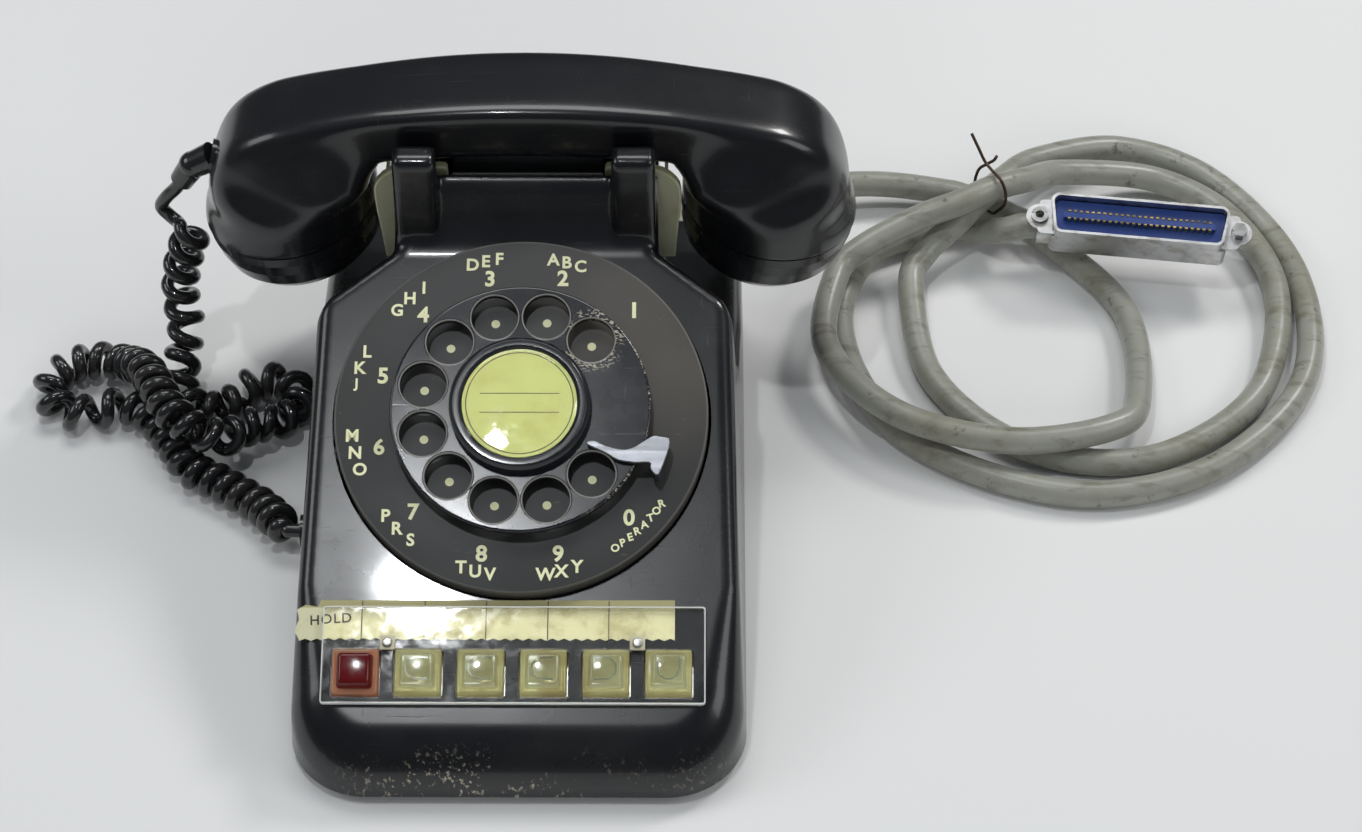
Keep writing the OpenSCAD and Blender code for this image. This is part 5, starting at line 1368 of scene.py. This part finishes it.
# Settings, operators and panel
class TelephoneSettings(bpy.types.PropertyGroup):
    """Colours and finishes that a user of the telephone would change."""

    body_colour: bpy.props.FloatVectorProperty(
        name="Body Colour", description="Colour of the housing and the handset", subtype="COLOR", size=3,
        default=(0.0048, 0.0052, 0.0064), min=0.0, max=1.0)
    body_roughness: bpy.props.FloatProperty(
        name="Body Roughness", description="Roughness of the housing and the handset", default=0.25, min=0.0,
        max=1.0, subtype="FACTOR")
    dust: bpy.props.FloatProperty(
        name="Dust", description="How much dust lies on the black plastic", default=0.075, min=0.0, max=1.0,
        subtype="FACTOR")
    cable_colour: bpy.props.FloatVectorProperty(
        name="Cable Colour", description="Colour of the line cable where it is clean", subtype="COLOR",
        size=3, default=(0.31, 0.315, 0.27), min=0.0, max=1.0)
    card_colour: bpy.props.FloatVectorProperty(
        name="Card Colour", description="Colour of the number card", subtype="COLOR", size=3,
        default=(0.40, 0.43, 0.15), min=0.0, max=1.0)
    figure_size: bpy.props.FloatProperty(
        name="Figure Size", description="Height of the figures round the dial", default=0.0059, min=0.003,
        max=0.007, unit="LENGTH", precision=4)


class PieceOperator:
    """Runs the makers of one group of pieces."""

    bl_options = {"REGISTER", "UNDO"}
    makers = ()

    def execute(self, context):
        for maker in self.makers:
            maker()
        return {"FINISHED"}


def fill_finishes():
    """Makes the materials from the scene's settings."""
    FINISHES.update(make_materials(bpy.context.scene.telephone))


class TELEPHONE_OT_finishes(PieceOperator, bpy.types.Operator):
    """Make every finish of the telephone"""

    bl_idname = "telephone.finishes"
    bl_label = "Finishes"
    makers = (fill_finishes,)


class TELEPHONE_OT_camera(PieceOperator, bpy.types.Operator):
    """Set up the photograph's camera"""

    bl_idname = "telephone.camera"
    bl_label = "Camera"
    makers = (make_camera,)


class TELEPHONE_OT_curly_cord(PieceOperator, bpy.types.Operator):
    """Make the curly cord of the handset"""

    bl_idname = "telephone.curly_cord"
    bl_label = "Curly Cord"
    makers = (make_curly_cord,)


class TELEPHONE_OT_line_cable(PieceOperator, bpy.types.Operator):
    """Make the line cable and the wire tie round its hank"""

    bl_idname = "telephone.line_cable"
    bl_label = "Line Cable"
    makers = (make_line_cable,)


class TELEPHONE_OT_housing(PieceOperator, bpy.types.Operator):
    """Make the housing shell with its neck and prongs"""

    bl_idname = "telephone.housing"
    bl_label = "Housing"
    makers = (make_housing,)


class TELEPHONE_OT_handset(PieceOperator, bpy.types.Operator):
    """Make the handle of the handset"""

    bl_idname = "telephone.handset"
    bl_label = "Handset"
    makers = (make_handle,)


class TELEPHONE_OT_plungers(PieceOperator, bpy.types.Operator):
    """Make the two clear plungers in the cradle"""

    bl_idname = "telephone.plungers"
    bl_label = "Plungers"
    makers = (make_plungers,)


class TELEPHONE_OT_dial(PieceOperator, bpy.types.Operator):
    """Make the number plate, the finger wheel, the card and the finger stop"""

    bl_idname = "telephone.dial"
    bl_label = "Dial"
    makers = (make_number_plate, make_dial, make_finger_stop)


class TELEPHONE_OT_keys(PieceOperator, bpy.types.Operator):
    """Make the hold key and the five line keys"""

    bl_idname = "telephone.keys"
    bl_label = "Keys"
    makers = (make_keys,)


class TELEPHONE_OT_key_cover(PieceOperator, bpy.types.Operator):
    """Make the clear cover round the keys, its clips and the paper strip under it"""

    bl_idname = "telephone.key_cover"
    bl_label = "Key Cover and Strip"
    makers = (make_face_plate, make_strip)


class TELEPHONE_OT_kept_parts(PieceOperator, bpy.types.Operator):
    """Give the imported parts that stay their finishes"""

    bl_idname = "telephone.kept_parts"
    bl_label = "Packed Parts"
    makers = (dress_kept_parts,)


class TELEPHONE_OT_stage(PieceOperator, bpy.types.Operator):
    """Make the floor, the lights and the room"""

    bl_idname = "telephone.stage"
    bl_label = "Stage"
    makers = (make_stage,)


OPERATORS = (
    TELEPHONE_OT_camera, TELEPHONE_OT_finishes, TELEPHONE_OT_curly_cord, TELEPHONE_OT_line_cable,
    TELEPHONE_OT_housing, TELEPHONE_OT_handset, TELEPHONE_OT_plungers, TELEPHONE_OT_dial, TELEPHONE_OT_keys,
    TELEPHONE_OT_key_cover, TELEPHONE_OT_kept_parts, TELEPHONE_OT_stage,
)


class TELEPHONE_PT_panel(bpy.types.Panel):
    """Settings of the telephone and a button for each of its pieces"""

    bl_idname = "TELEPHONE_PT_panel"
    bl_label = "Telephone"
    bl_space_type = "VIEW_3D"
    bl_region_type = "UI"
    bl_category = "Telephone"

    def draw(self, context):
        chosen = context.scene.telephone
        for name in TelephoneSettings.__annotations__:
            self.layout.prop(chosen, name)
        for operator in OPERATORS:
            self.layout.operator(operator.bl_idname)


CLASSES = (TelephoneSettings, *OPERATORS, TELEPHONE_PT_panel)


def register():
    for cls in CLASSES:
        bpy.utils.register_class(cls)
    bpy.types.Scene.telephone = bpy.props.PointerProperty(type=TelephoneSettings)


def unregister():
    del bpy.types.Scene.telephone
    for cls in reversed(CLASSES):
        bpy.utils.unregister_class(cls)


def main():
    """Builds the whole scene."""
    register()
    for operator in OPERATORS:
        getattr(bpy.ops.telephone, operator.bl_idname.split(".")[1])()


if __name__ == "__main__":
    main()
